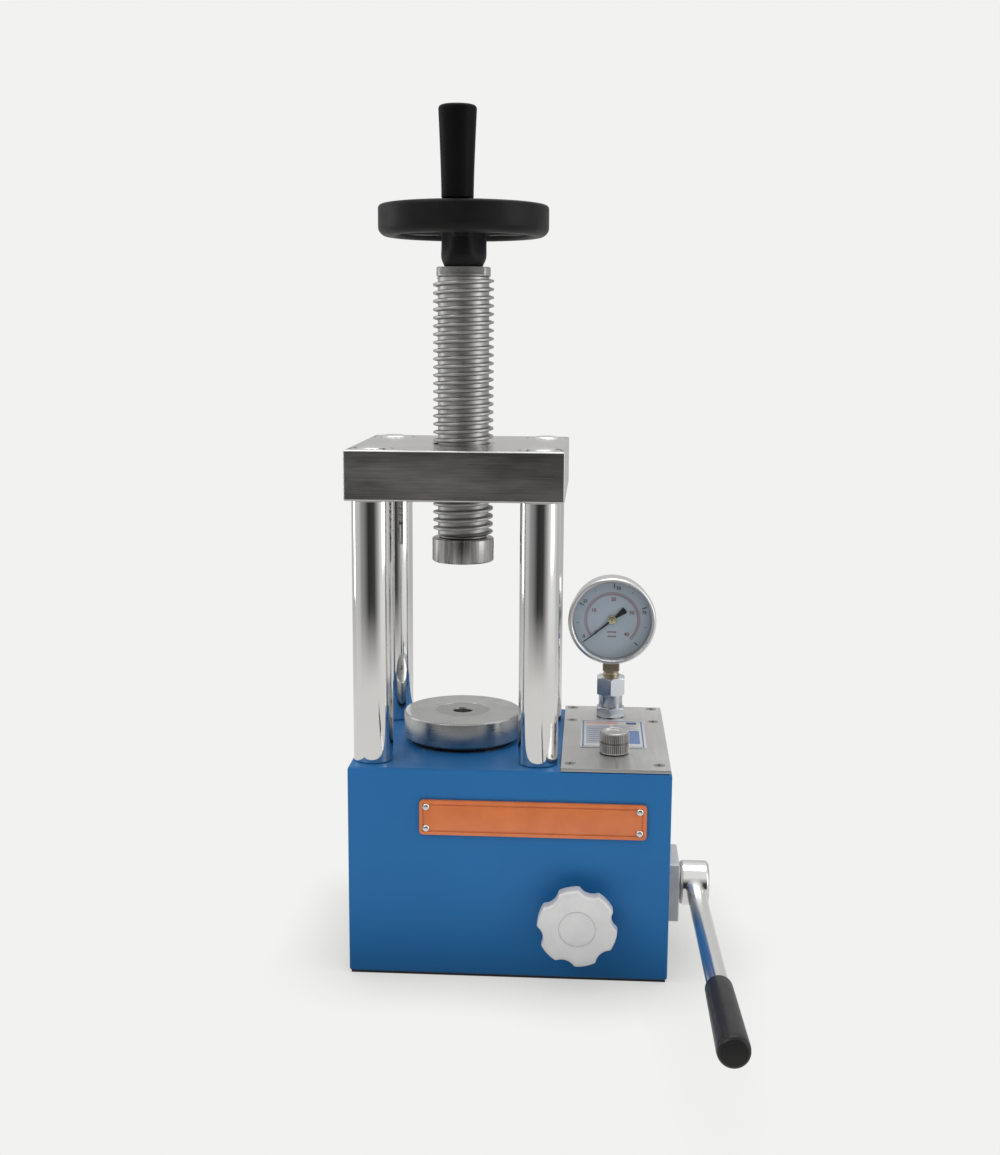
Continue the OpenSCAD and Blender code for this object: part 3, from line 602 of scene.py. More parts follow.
def piece(name, bm, materials, body, replaces=(), crease=32, smooth=True, flat_faces=False):
    """Makes an object of a skin; flat_faces keeps large flats level beside their rounded edges."""
    bmesh.ops.recalc_face_normals(bm, faces=bm.faces)
    mesh = bpy.data.meshes.new(name)
    bm.to_mesh(mesh)
    bm.free()
    for material in materials if isinstance(materials, (list, tuple)) else [materials]:
        mesh.materials.append(material)
    made = bpy.data.objects.new(name, mesh)
    scene.collection.objects.link(made)
    if smooth:
        mesh.shade_smooth()
        mesh.set_sharp_from_angle(angle=math.radians(crease))
    if flat_faces:
        level = made.modifiers.new("level", "WEIGHTED_NORMAL")
        level.keep_sharp = True
        level.weight = 80
    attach(made, body)
    if replaces:
        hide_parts(*replaces)
    return made


def centre_of(node):
    low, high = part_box(node)
    return (Vector(low) + Vector(high)) / 2


def corners_of(node, inset):
    """The four places in X and Y that lie inset millimetres within a node's box."""
    low, high = edges_of(node)
    return [(x, y) for x in (low.x + inset * MM, high.x - inset * MM)
            for y in (low.y + inset * MM, high.y - inset * MM)]


def edges_of(node):
    """A node's lowest and highest corners as two vectors."""
    low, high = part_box(node)
    return Vector(low), Vector(high)


def rounded_block(low, high, radius, segments=4):
    bm = bmesh.new()
    bmesh.ops.create_cube(bm, size=1)
    low, high = Vector(low), Vector(high)
    place(bm, Matrix.Translation((low + high) / 2) @ Matrix.Diagonal((*(high - low), 1)))
    bmesh.ops.bevel(
        bm, geom=bm.edges[:] + bm.verts[:], offset=radius, offset_type="OFFSET",
        segments=segments, profile=0.5, affect="EDGES",
    )
    return bm


def rod(radius, at, axis, length, segments=64):
    """A plain bar, for cutting holes."""
    bm = bmesh.new()
    turned(bm, [(0, 0), (radius, 0), (radius, length), (0, length)], segments)
    place(bm, along(axis, at))
    return bm


def combine(bm, other, operation="DIFFERENCE"):
    """The exact difference or union of two closed skins, as a new one."""
    made = []
    for source in (bm, other):
        bmesh.ops.recalc_face_normals(source, faces=source.faces)
        mesh = bpy.data.meshes.new("operand")
        source.to_mesh(mesh)
        source.free()
        made.append(bpy.data.objects.new("operand", mesh))
        scene.collection.objects.link(made[-1])
    change = made[0].modifiers.new("combine", "BOOLEAN")
    change.object = made[1]
    change.operation = operation
    change.solver = "EXACT"
    result = bmesh.new()
    result.from_mesh(made[0].evaluated_get(bpy.context.evaluated_depsgraph_get()).to_mesh())
    for operand in made:
        mesh = operand.data
        bpy.data.objects.remove(operand)
        bpy.data.meshes.remove(mesh)
    return result


def merge(bm, other):
    """Adds a skin that touches nothing of the first to the same mesh."""
    mesh = bpy.data.meshes.new("part")
    other.to_mesh(mesh)
    other.free()
    bm.from_mesh(mesh)
    bpy.data.meshes.remove(mesh)
    return bm


def slab(points, z0, z1, material=0):
    """A flat shape of given outline between two heights."""
    bm = bmesh.new()
    loft(bm, [[Vector((x, y, z)) for x, y in points] for z in (z0, z1)], material=material)
    return bm


def hexagon_nut(z0, z1):
    """A 22 mm hexagon whose corners are turned off by a cone at both ends."""
    af = 22 * MM
    bm = bmesh.new()
    steps = 24
    rings = []
    for i in range(steps + 1):
        t = i / steps
        z = z0 + (z1 - z0) * (0.5 - 0.5 * math.cos(math.pi * t))
        limit = af / 2 * 0.97 + 1.75 * min(z - z0, z1 - z)

        def radius(a, limit=limit):
            turn = (a + math.pi / 6) % (math.pi / 3) - math.pi / 6
            return min(af / 2 / math.cos(turn), limit)

        rings.append(polar_ring(radius, z, 144))
    loft(bm, rings)
    return bm


# ---------------------------------------------------------------- housing

def make_housing(paint):
    low, high = edges_of("housing")
    bm = rounded_block(low, high, 2.2 * MM, 5)
    ram = centre_of("ram")
    top = high.z
    wiper = edges_of("ram_wiper")
    bm = combine(bm, rod(36 * MM, (ram.x, ram.y, top - 60 * MM), (0, 0, 1), 70 * MM, 128))
    wiper_r = wiper[1].x - ram.x + 0.05 * MM
    bm = combine(bm, rod(wiper_r, (ram.x, ram.y, wiper[0].z), (0, 0, 1), 20 * MM, 128))
    valve = centre_of("valve_gland_nut")
    bm = combine(bm, rod(10.1 * MM, (valve.x, low.y - 0.01, valve.z), (0, 1, 0), 30 * MM))
    block = edges_of("pump_block")
    window = rounded_block(
        (high.x - 20 * MM, block[0].y - 0.3 * MM, 28.4 * MM),
        (high.x + 20 * MM, block[1].y + 0.3 * MM, 73.8 * MM),
        0.6 * MM, 2)
    bm = combine(bm, window)
    cavity = rounded_block(
        low + Vector((6, 6, -4)) * MM, (high.x - 6 * MM, high.y - 6 * MM, top - 30 * MM), 0.5 * MM, 1)
    bm = combine(bm, cavity)
    piece("housing_shell", bm, paint, "root", ["housing"], flat_faces=True)


def make_nameplate(enamel, bright):
    low, high = edges_of("nameplate")
    width, height, depth = high.x - low.x, high.z - low.z, high.y - low.y
    bm = bmesh.new()

    def ring(inset, lift):
        r = max(3.0 * MM - inset, 0.2 * MM)
        outline = rounded_rectangle(inset, width - inset, inset, height - inset, r)
        return [Vector((x, y, lift)) for x, y in outline]

    # each ring's distance in from the outline and down from the face: a rim, a groove and the field
    steps = (
        (0, 0.6), (0.18, 0.18), (0.6, 0), (2.4, 0), (2.6, 0.15), (2.75, 0.7), (3.5, 0.7), (3.7, 0.15),
        (3.9, 0))
    loft(bm, [ring(0, 0)] + [ring(inset * MM, depth - down * MM) for inset, down in steps])
    place(bm, to_front(low.x, high.y, low.z))
    piece("nameplate_plate", bm, enamel, "root", ["nameplate"])
    low, high = edges_of("nameplate_rivets")
    heads = bmesh.new()
    for x in (low.x + 2.5 * MM, high.x - 2.5 * MM):
        for z in (low.z + 2.5 * MM, high.z - 2.5 * MM):
            head = lathe(
                [(0, 0), (2.5, 0), (2.5, 0.35), (2.0, 0.95), (1.1, 1.15), (0, 1.2)], 0.35, 40)
            place(head, to_front(x, low.y + 1.2 * MM, z))
            merge(heads, head)
    piece("rivet_heads", heads, bright, "root", ["nameplate_rivets"])


# ---------------------------------------------------------------- frame

CAP_RADIUS = 15


def make_column(node, metal):
    low, high = edges_of(node)
    centre = (low + high) / 2
    deck = edges_of("housing")[1].z
    under = edges_of("crosshead")[0].z
    height = (under - deck) / MM
    r = (high.x - low.x) / 2 / MM
    bm = lathe([
        (0, -28), (10, -28), (10, 0.02), (r - 0.7, 0.02), (r, 0.8), (r, height - 0.8),
        (r - 0.7, height - 0.02), (10, height - 0.02), (10, height + 20), (0, height + 20),
    ], 0.25, 128)
    move(bm, centre.x, centre.y, deck)
    piece(node + "_bar", bm, metal, "root", [node])


def make_crosshead(steel):
    low, high = edges_of("crosshead")
    bm = rounded_block(low, high, 1.3 * MM, 3)
    for x, y in corners_of("column_cap_nuts", CAP_RADIUS):
        cutter = lathe([(0, 0), (16, 0), (16, 13.3), (17.2, 14.6), (0, 14.6)], 0.1, 96)
        move(cutter, x, y, edges_of("column_cap_nuts")[0].z)
        bm = combine(bm, cutter)
    cutter = lathe([
        (0, -1), (28, -1), (28, 32), (23.25, 32), (23.25, 35.2), (24.6, 36.6), (0, 36.6)], 0.1, 128)
    move(cutter, 0, 0, low.z)
    bm = combine(bm, cutter)
    piece("crosshead_block", bm, steel, "root", ["crosshead"], flat_faces=True)


def make_cap_nuts(steel):
    bm = bmesh.new()
    for x, y in corners_of("column_cap_nuts", CAP_RADIUS):
        cap = lathe([
            (0, 0), (CAP_RADIUS, 0), (CAP_RADIUS, 13.1), (14.2, 13.75), (12.4, 13.75), (12.0, 13.2),
            (11.2, 13.2), (10.8, 13.9), (10.0, 14.8), (6, 15.6), (0, 15.8)], 0.3, 96)
        move(cap, x, y, edges_of("column_cap_nuts")[0].z)
        merge(bm, cap)
    piece("column_caps", bm, steel, "root", ["column_cap_nuts"])


def make_platen(steel):
    low, high = edges_of("platen")
    top = (high.z - low.z) / MM
    seat = top - 12
    bm = lathe([
        (0, seat), (15, seat), (15, 0), (44, 0), (45, 1), (45, top - 0.9), (44.1, top), (20.6, top),
        (20.5, top - 0.4), (8.1, top - 0.4), (7.25, top - 1.2), (7.25, seat + 0.01), (0, seat + 0.01)],
        0.2, 160)
    move(bm, 0, 0, low.z)
    piece("platen_disc", bm, steel, "ram", ["platen"])


# ---------------------------------------------------------------- screw and handwheel

def thread(bm, z0, z1, pitch, root, profile, segments=96, fade=1.4 * MM):
    """A right-hand thread that fades out at both ends; profile gives (advance, height) over one pitch."""
    turns = math.ceil((z1 - z0) / pitch) + 1
    rows = []
    for row in range((turns + 1) * len(profile)):
        advance, height = profile[row % len(profile)]
        start = z0 + (row // len(profile) - 1) * pitch + advance
        ring = []
        for i in range(segments + 1):
            z = start + pitch * i / segments
            share = max(0.0, min(1.0, (z - z0) / fade, (z1 - z) / fade))
            r = root + height * share
            a = TAU * i / segments
            ring.append(Vector((r * math.cos(a), r * math.sin(a), min(max(z, z0), z1))))
        rows.append(ring)
    made = [[bm.verts.new(p) for p in ring] for ring in rows]
    for low, high in zip(made, made[1:]):
        for i in range(segments):
            bm.faces.new((low[i], low[i + 1], high[i + 1], high[i]))
    bmesh.ops.remove_doubles(bm, verts=bm.verts, dist=1e-6)
    bmesh.ops.dissolve_degenerate(bm, dist=1e-7, edges=bm.edges)


def make_screw(steel):
    bm = bmesh.new()
    z0, z1 = 317.2 * MM, 507.5 * MM
    profile = [(a * MM, h * MM) for a, h in (
        (0.0, 0.0), (0.14, 0.35), (0.92, 3.1), (1.06, 3.42), (1.22, 3.5), (2.40, 3.5),
        (2.56, 3.42), (2.70, 3.1), (3.48, 0.35), (3.62, 0.0), (4.8, 0.0))]
    thread(bm, z0, z1, 6 * MM, 19 * MM, profile)
    lower = [
        (0, 303.5), (14, 303.5), (15, 304.5), (15, 307), (13, 307), (13, 311), (15, 311), (15, 315.1),
        (17.4, 315.1), (18, 315.7), (18, 316.7), (19, z0 / MM)]
    turned(bm, millimetres(lower, 0.25), 96)
    turned(bm, millimetres([(19, z1 / MM), (18.4, 507.8), (17, 508)], 0.2), 96)
    collar = []
    for r, h, flat in (
        (17, 508, False), (19.3, 508, False), (20, 508.6, False), (20, 509.1, False), (20, 509.2, True),
        (20, 514.3, True), (19.4, 514.9, True), (8, 515, False),
    ):
        ring = []
        for i in range(96):
            a = TAU * i / 96
            x, y = r * math.cos(a), r * math.sin(a)
            # half the width across the two flats, which are slightly hollow
            across = 13.7 - 2.2 * (x / 15) ** 2
            ring.append(Vector((x, max(-across, min(across, y)) if flat else y, h)) * MM)
        collar.append(ring)
    loft(bm, collar, cap_start=False, cap_end=False)
    turned(bm, millimetres([(8, 515), (8, 541), (0, 541)], 0.2), 96)
    bmesh.ops.remove_doubles(bm, verts=bm.verts, dist=2e-6)
    piece("lead_screw_thread", bm, steel, "screw", ["lead_screw"], crease=38)


def make_anvil(steel):
    low = edges_of("anvil")[0]
    bm = lathe([
        (0, 0), (22.3, 0), (23.25, 0.95), (23.25, 17.2), (22.5, 18), (15.05, 18), (15.05, 6.2), (0, 6.2)],
        0.25, 128)
    move(bm, 0, 0, low.z)
    screws = centre_of("anvil_grub_screws")
    bm = combine(bm, rod(3.05 * MM, (-30 * MM, 0, screws.z), (1, 0, 0), 60 * MM, 40))
    piece("anvil_disc", bm, steel, "anvil", ["anvil"])


def smooth_max(a, b, k):
    """The greater of two values, with a fillet of size k where they cross."""
    share = max(0.0, min(1.0, 0.5 + 0.5 * (a - b) / k))
    return b + (a - b) * share + k * share * (1 - share)


def make_handwheel(plastic):
    """The rim, the boss for the handle, and a scooped hub with three flat spokes."""
    rim = lathe([
        (50, 548, 2), (50, 538.6, 2), (52.2, 536.5, 2), (58.4, 536.5, 3), (62.5, 540.4, 4),
        (62.5, 557.4, 1.6), (61, 559, 1.6), (53, 559, 2.5), (50, 556, 2.5),
        (50, 548, 2)], 4, 240, 6, closed=True)
    hub = bmesh.new()
    spokes = [math.radians(a) for a in (30, 150, 270)]
    rings = []
    for z, core, scoop, reach, half in (
        (515.0, 13.5, 0, 0, 0), (515.5, 14.1, 0, 0, 0), (517.5, 15.1, 0, 0, 0), (519.5, 16.0, 0.2, 0, 0),
        (521.5, 16.7, 0.6, 0, 0), (524, 17.0, 1.2, 0, 0), (527, 17.0, 1.9, 0, 0), (530, 17.0, 2.6, 0, 0),
        (533, 17.0, 3.2, 0, 0), (536, 17.0, 3.7, 0, 0), (538, 17.0, 3.9, 19, 5.4),
        (538.8, 17.0, 3.9, 30, 6.6), (539.4, 17.0, 3.9, 48, 7.2), (540.0, 17.0, 3.9, 55, 7.6),
        (541, 17.0, 3.6, 56, 7.9), (544, 17.4, 2, 56, 8.1),
        (547.4, 18.0, 0, 56, 7.9), (548.2, 18.0, 0, 55.4, 7.4), (548.5, 17.8, 0, 54.5, 6.8),
    ):
        def radius(a, core=core, scoop=scoop, reach=reach, half=half):
            nearest = min(abs((a - spoke + math.pi) % TAU - math.pi) for spoke in spokes)
            # a scoop is deepest half way between two spokes and leaves a rib below each
            r = core - scoop * max(0.0, math.sin(max(0.0, nearest - 0.30) * math.pi / 2 / 0.75)) ** 1.5
            if reach:
                arm = min(reach / max(math.cos(nearest), 1e-3), half / max(math.sin(nearest), 1e-4))
                r = smooth_max(r, arm, 2.5)
            return r * MM

        rings.append(polar_ring(radius, z * MM, 288))
    rings.append(polar_ring(lambda a: 16.4 * MM, 549 * MM, 288))
    loft(hub, rings)
    bm = combine(rim, hub, "UNION")
    handle = centre_of("revolving_handle")
    boss = lathe([(0, 540.5), (11, 540.5), (12.5, 542), (12.5, 558.2), (11.7, 559), (0, 559)], 0.8, 72)
    move(boss, handle.x, handle.y, 0)
    bm = combine(bm, boss, "UNION")
    piece("handwheel_casting", bm, plastic, "screw", ["handwheel"], crease=40)


def make_handle(plastic):
    low, high = edges_of("revolving_handle")
    centre = (low + high) / 2
    height = (high.z - low.z) / MM
    foot, head, corner = 11.3, (high.x - low.x) / 2 / MM - 0.01, 2.6
    side = [(foot - 1.0, 0.0, 0.4), (foot, 0.9, 0.6)]
    for i in range(1, 15):
        t = i / 14
        side.append((foot + (head - foot) * t ** 1.4, 0.9 + (height - corner - 1.2) * t))
    crown = [
        (head - corner + corner * math.cos(math.radians(a)),
            height - corner + corner * math.sin(math.radians(a)), 0.05)
        for a in range(12, 91, 13)]
    bm = lathe([
        (0, 0), *side, *crown, (7, height, 0.5), (6.4, height - 0.35, 0.4), (0, height - 0.35)], 0.4, 96)
    move(bm, centre.x, centre.y, low.z)
    piece("handle_grip", bm, plastic, "handle", ["revolving_handle"], crease=40)


# ---------------------------------------------------------------- top plate and label

def make_top_plate(sheet):
    low, high = edges_of("top_plate")
    bm = rounded_block(low, high, 0.35 * MM, 2)
    screws = edges_of("top_plate_screws")
    for x in (screws[0].x + 4.1 * MM, screws[1].x - 4.1 * MM):
        for y in (-70 * MM, 50 * MM, 89.5 * MM):
            cutter = lathe([(0, -4), (2.2, -4), (2.2, -2.2), (4.4, 0.02), (4.4, 1), (0, 1)], 0, 48)
            move(cutter, x, y, high.z)
            bm = combine(bm, cutter)
    piece("top_plate_sheet", bm, sheet, "root", ["top_plate"], flat_faces=True)


def make_label(paper, pale, blue, dark, red):
    """A printed film with bands and blocks of colour where the print would be, and no lettering."""
    low, high = edges_of("data_label")
    width, depth = high.x - low.x, high.y - low.y
    bm = slab(rounded_rectangle(low.x, high.x, low.y, high.y, 1.2 * MM), low.z, high.z)
    top = high.z

    def block(x0, x1, y0, y1, material, lift=0.02 * MM):
        merge(bm, slab(
            [(low.x + x * width, low.y + y * depth) for x, y in ((x0, y0), (x1, y0), (x1, y1), (x0, y1))],
            top, top + lift, material))

    for row in (
        (0.03, 0.055, 0.03, 0.97, 2), (0.945, 0.97, 0.03, 0.97, 2), (0.03, 0.97, 0.955, 0.975, 2),
        (0.03, 0.97, 0.022, 0.042, 2), (0.09, 0.60, 0.86, 0.93, 4), (0.72, 0.88, 0.85, 0.93, 3),
        (0.09, 0.46, 0.14, 0.80, 1), (0.52, 0.91, 0.14, 0.62, 2),
    ):
        block(*row)
    for i in range(5):
        block(0.52, 0.90 - 0.06 * (i % 3), 0.67 + 0.032 * i, 0.678 + 0.032 * i, 3, 0.03 * MM)
    for i in range(7):
        block(0.13, 0.42 - 0.05 * (i % 2), 0.22 + 0.075 * i, 0.232 + 0.075 * i, 3, 0.03 * MM)
    piece("label_film", bm, [paper, pale, blue, dark, red], "root", ["data_label"],
        smooth=False)


# ---------------------------------------------------------------- gauge

GAUGE_SWEEP = 264
GAUGE_ZERO = 219


def gauge_axis():
    centre = centre_of("gauge_bezel")
    return centre.x, centre.z


def make_gauge_shell(can, ring):
    x, z = gauge_axis()
    low, high = edges_of("gauge_case")
    depth = (high.y - low.y) / MM
    bm = lathe([
        (0, 0), (29.6, 0, 1.2), (31.6, 0.5, 1.2), (33, 2.4, 1.6), (33, depth), (31.2, depth), (31.2, 3),
        (30.2, 2), (0, 2)], 0.3, 160)
    place(bm, to_front(x, high.y, z))
    piece("gauge_can", bm, can, "root", ["gauge_case"])
    low, high = edges_of("gauge_bezel")
    bm = lathe([
        (33.1, 0, 0.1), (34.3, 0, 0.4), (35, 0.8, 0.6), (35, 5.6, 1.2), (34.3, 7.3, 1.2), (33.0, 8.0, 0.9),
        (31.9, 7.5, 0.8), (31.2, 6.2, 0.3), (31.0, 5.6, 0.1), (33.1, 5.6, 0.1), (33.1, 0, 0.1)],
        0.2, 192, 4, closed=True)
    place(bm, to_front(x, high.y, z))
    piece("gauge_ring", bm, ring, "root", ["gauge_bezel"], crease=45)


def tick(bm, angle, r0, r1, width, material):
    across = Vector((-math.sin(angle), math.cos(angle), 0)) * width / 2
    out = Vector((math.cos(angle), math.sin(angle), 0))
    corners = [out * r0 - across, out * r1 - across, out * r1 + across, out * r0 + across]
    loft(bm, [[Vector((c.x, c.y, h)) for c in corners] for h in (0, 0.04 * MM)], material=material)


def arc_band(bm, r, width, start, stop, material, steps=96):
    rings = []
    for i in range(steps + 1):
        a = math.radians(start + (stop - start) * i / steps)
        out = Vector((math.cos(a), math.sin(a), 0))
        inner, outer, lift = out * (r - width / 2), out * (r + width / 2), Vector((0, 0, 0.04 * MM))
        rings.append([inner, outer, outer + lift, inner + lift])
    loft(bm, rings, material=material)


def numeral(bm, text, x, y, size, material):
    curve = bpy.data.curves.new("numeral", "FONT")
    curve.body = text
    curve.size = size
    curve.align_x = "CENTER"
    curve.align_y = "CENTER"
    curve.extrude = 0.02 * MM
    curve.offset = 0.09 * MM
    holder = bpy.data.objects.new("numeral", curve)
    scene.collection.objects.link(holder)
    shape = bmesh.new()
    shape.from_mesh(holder.evaluated_get(bpy.context.evaluated_depsgraph_get()).to_mesh())
    move(shape, x, y, 0.02 * MM)
    for face in shape.faces:
        face.material_index = material
    bpy.data.objects.remove(holder)
    bpy.data.curves.remove(curve)
    merge(bm, shape)


def make_dial(face, black, red):
    """The dial with its black outer scale, its dense red inner scale and generic numbers."""
    x, z = gauge_axis()
    low, high = edges_of("gauge_dial")
    bm = lathe([(1.6, 0), (31, 0), (31, 1), (1.6, 1), (1.6, 0)], 0.05, 128, closed=True)
    place(bm, to_front(x, high.y, z))
    piece("dial_plate", bm, face, "root", ["gauge_dial"])
    scale = bmesh.new()
    for i in range(41):
        a = math.radians(GAUGE_ZERO - GAUGE_SWEEP * i / 40)
        if i % 10 == 0:
            tick(scale, a, 25.6 * MM, 29.4 * MM, 0.8 * MM, 0)
        elif i % 5 == 0:
            tick(scale, a, 26.6 * MM, 28.6 * MM, 0.35 * MM, 0)
    for i in range(61):
        a = math.radians(GAUGE_ZERO - GAUGE_SWEEP * i / 60)
        tick(scale, a, 20.2 * MM, 22.6 * MM, 0.62 * MM, 1)
    arc_band(scale, 20.2 * MM, 0.22 * MM, GAUGE_ZERO, GAUGE_ZERO - GAUGE_SWEEP, 1)
    for i in range(5):
        a = math.radians(GAUGE_ZERO - GAUGE_SWEEP * i / 4)
        numeral(scale, str(10 * i), math.cos(a) * 16.6 * MM, math.sin(a) * 16.6 * MM, 4.2 * MM, 1)
        a -= math.radians(7.5)
        if i < 4:
            numeral(scale, str(25 * i), math.cos(a) * 26.2 * MM, math.sin(a) * 26.2 * MM, 3.6 * MM, 0)
    for row, half in ((-10.5, 3.6), (-14, 3.4)):
        for i in range(5):
            x0 = (-half + i * half * 0.42) * MM
            x1 = x0 + half * 0.3 * MM
            y0, y1 = row * MM, (row + 1.1) * MM
            merge(scale, slab([(x0, y0), (x1, y0), (x1, y1), (x0, y1)], 0, 0.04 * MM, 1))
    place(scale, to_front(x, low.y, z))
    piece("dial_print", scale, [black, red], "root", smooth=False)


def make_pointer(black, brass):
    x, z = gauge_axis()
    low = edges_of("gauge_pointer")[0]
    bm = bmesh.new()
    shape = [(-13.5, -1.8), (-12.7, -2.55), (-2.6, -0.8), (0, -0.9), (25.1, -0.28), (25.5, 0), (25.1, 0.28),
             (0, 0.9), (-2.6, 0.8), (-12.7, 2.55), (-13.5, 1.8)]
    loft(bm, [[Vector((a, b, h)) * MM for a, b in shape] for h in (2.0, 2.5)])
    place(bm, to_front(x, low.y + 4 * MM, z) @ Matrix.Rotation(math.radians(GAUGE_ZERO), 4, "Z"))
    piece("pointer_needle", bm, black, "pointer", ["gauge_pointer"], smooth=False)
    hub = lathe([
        (0, -4), (1.5, -4), (1.5, 1.4), (3.4, 1.4), (3.5, 1.9), (3.5, 3.0), (3.0, 3.5), (1.7, 3.6),
        (1.5, 3.9), (0, 4.0)], 0.2, 64)
    place(hub, to_front(x, low.y + 4 * MM, z))
    piece("pointer_hub", hub, brass, "pointer")


def make_gauge_stem(zinc, fitting, brass):
    socket = edges_of("gauge_socket")
    centre = (socket[0] + socket[1]) / 2
    plate = edges_of("top_plate")[1].z
    coupling = edges_of("gauge_coupling")
    shift = Matrix.Translation((centre.x, centre.y, 0))
    bm = hexagon_nut(plate, plate + 8 * MM)
    place(bm, shift)
    base = plate / MM
    for outline in (
        [(0, 146), (7, 146), (7, base + 0.5), (0, base + 0.5)],
        [(0, base + 7.9), (9.6, base + 7.9), (9.6, base + 17.6), (9.4, base + 17.9), (7, base + 18),
         (7, base + 23), (0, base + 23)],
    ):
        part = lathe(outline, 0.2, 72)
        place(part, shift)
        bm = combine(bm, part, "UNION")
    piece("gauge_adapter_fitting", bm, fitting, "root", ["gauge_adapter"])
    bm = hexagon_nut(coupling[0].z, coupling[1].z)
    place(bm, shift)
    piece("gauge_coupling_nut", bm, zinc, "root", ["gauge_coupling"])
    top = socket[1].z
    square = 6.75 * MM
    bm = rounded_block((centre.x - square, centre.y - square, coupling[1].z + 5 * MM),
                       (centre.x + square, centre.y + square, top - 3 * MM), 1.0 * MM, 3)
    base = coupling[1].z / MM
    neck = lathe([
        (0, base - 1), (6.5, base - 1), (6.5, base + 2.2), (5.9, base + 3), (5.9, base + 3.8),
        (6.5, base + 4.6), (6.5, base + 6), (0, base + 6)], 0.25, 64)
    place(neck, shift)
    bm = combine(bm, neck, "UNION")
    throat = rounded_block((centre.x - 5 * MM, centre.y - 5 * MM, top - 4 * MM),
                           (centre.x + 5 * MM, centre.y + 5 * MM, top + 1.5 * MM), 0.5 * MM, 2)
    bm = combine(bm, throat, "UNION")
    piece("gauge_stem", bm, brass, "root", ["gauge_socket"], flat_faces=True)


# ---------------------------------------------------------------- filler and release valve

def make_filler_cap(steel):
    low, high = edges_of("filler_cap")
    centre = (low + high) / 2
    teeth = 46
    per_tooth = 6
    segments = teeth * per_tooth
    wave = (0.0, 0.0, 0.6, 1.0, 1.0, 0.6)

    def ring(r, h, depth):
        made = []
        for i in range(segments):
            a = TAU * i / segments
            own = r - depth * wave[i % per_tooth]
            made.append(Vector((own * math.cos(a), own * math.sin(a), h)) * MM)
        return made

    bm = bmesh.new()
    loft(bm, [ring(*row) for row in (
        (9.3, 0.0, 0), (10.5, 0.0, 0), (10.9, 0.35, 0), (11.0, 1.0, 0.6), (11.0, 6.9, 0.6), (10.75, 7.3, 0.2),
        (10.35, 7.5, 0), (10.35, 8.6, 0), (10.75, 8.8, 0.2), (11.0, 9.2, 0.6), (11.0, 14.6, 0.6),
        (10.85, 15.2, 0.1), (10.3, 15.8, 0), (9.9, 16.0, 0), (8.6, 16.0, 0), (8.3, 15.8, 0), (8.05, 14.8, 0),
        (7.7, 14.6, 0), (0.4, 14.6, 0),
    )])
    move(bm, centre.x, centre.y, low.z)
    piece("filler_cap_knurled", bm, steel, "filler_cap", ["filler_cap"], crease=28)


def make_knob(satin):
    low, high = edges_of("valve_knob")
    centre = (low + high) / 2
    lobe_r = 28.7
    bite, away = 11.0, 36.2

    def outline(inset):
        def radius(a):
            turn = (a - math.radians(12.7) + math.pi / 6) % (math.pi / 3) - math.pi / 6
            side = away * math.sin(turn)
            bitten = math.sqrt(bite * bite - side * side) if abs(side) < bite else 0.0
            r = -smooth_max(-lobe_r, bitten - away * math.cos(turn), 1.0)
            return (r - inset) * MM
        return radius

    def circle(r):
        return lambda a: r * MM

    def between(inset, r, share):
        wide = outline(inset)
        return lambda a: wide(a) * (1 - share) + r * MM * share

    rings = (
        (circle(5.2), 0), (circle(11.2), 0), (circle(12), 0.8), (circle(12), 5.4), (circle(12.6), 6.0),
        (outline(1.6), 6.0), (outline(0.55), 6.25), (outline(0.1), 6.9), (outline(0), 7.6),
        (outline(0), 14.6), (outline(0.2), 15.6), (outline(0.8), 16.45), (outline(1.7), 16.85),
        (between(3.4, 20, 0.35), 17.0), (between(6, 16, 0.75), 16.95),
        (circle(13.5), 16.85), (circle(13.25), 16.7), (circle(13.2), 16.3), (circle(12.7), 16.3),
        (circle(12.65), 16.75), (circle(12.2), 16.95), (circle(7), 17.0), (circle(0.3), 17.0),
    )
    bm = bmesh.new()
    loft(bm, [polar_ring(radius, h * MM, 252) for radius, h in rings])
    place(bm, to_front(centre.x, high.y, centre.z))
    piece("star_knob", bm, satin, "valve_knob", ["valve_knob"], crease=35)


def make_gland(zinc):
    low, high = edges_of("valve_gland_nut")
    centre = (low + high) / 2
    bm = hexagon_nut(0, 3.5 * MM)
    bm = combine(bm, rod(6.05 * MM, (0, 0, -1 * MM), (0, 0, 1), 8 * MM, 48))
    place(bm, to_front(centre.x, low.y + 3.5 * MM, centre.z))
    piece("gland_nut", bm, zinc, "root", ["valve_gland_nut"])


# ---------------------------------------------------------------- pump and lever

def make_pump_block(casting):
    low, high = edges_of("pump_block")
    bm = rounded_block((110 * MM, -39 * MM, 28.7 * MM), (high.x, high.y, high.z), 1.0 * MM, 3)
    barrel = rounded_block((low.x, low.y, low.z), (113 * MM, -14 * MM, 34 * MM), 0.8 * MM, 2)
    bm = combine(bm, barrel, "UNION")
    shaft = centre_of("lever_shaft")
    bm = combine(bm, rod(8.05 * MM, (80 * MM, shaft.y, shaft.z), (1, 0, 0), 120 * MM))
    plunger = centre_of("pump_plunger")
    bm = combine(bm, rod(5.05 * MM, (plunger.x, plunger.y, 11 * MM), (0, 0, 1), 30 * MM))
    piece("pump_body", bm, casting, "root", ["pump_block"], flat_faces=True)


def lever_pivot():
    joints = frame["record"]["behaviour"]["joints"]
    return Vector(next(joint["pos_m"] for joint in joints if joint["name"] == "pump_lever"))


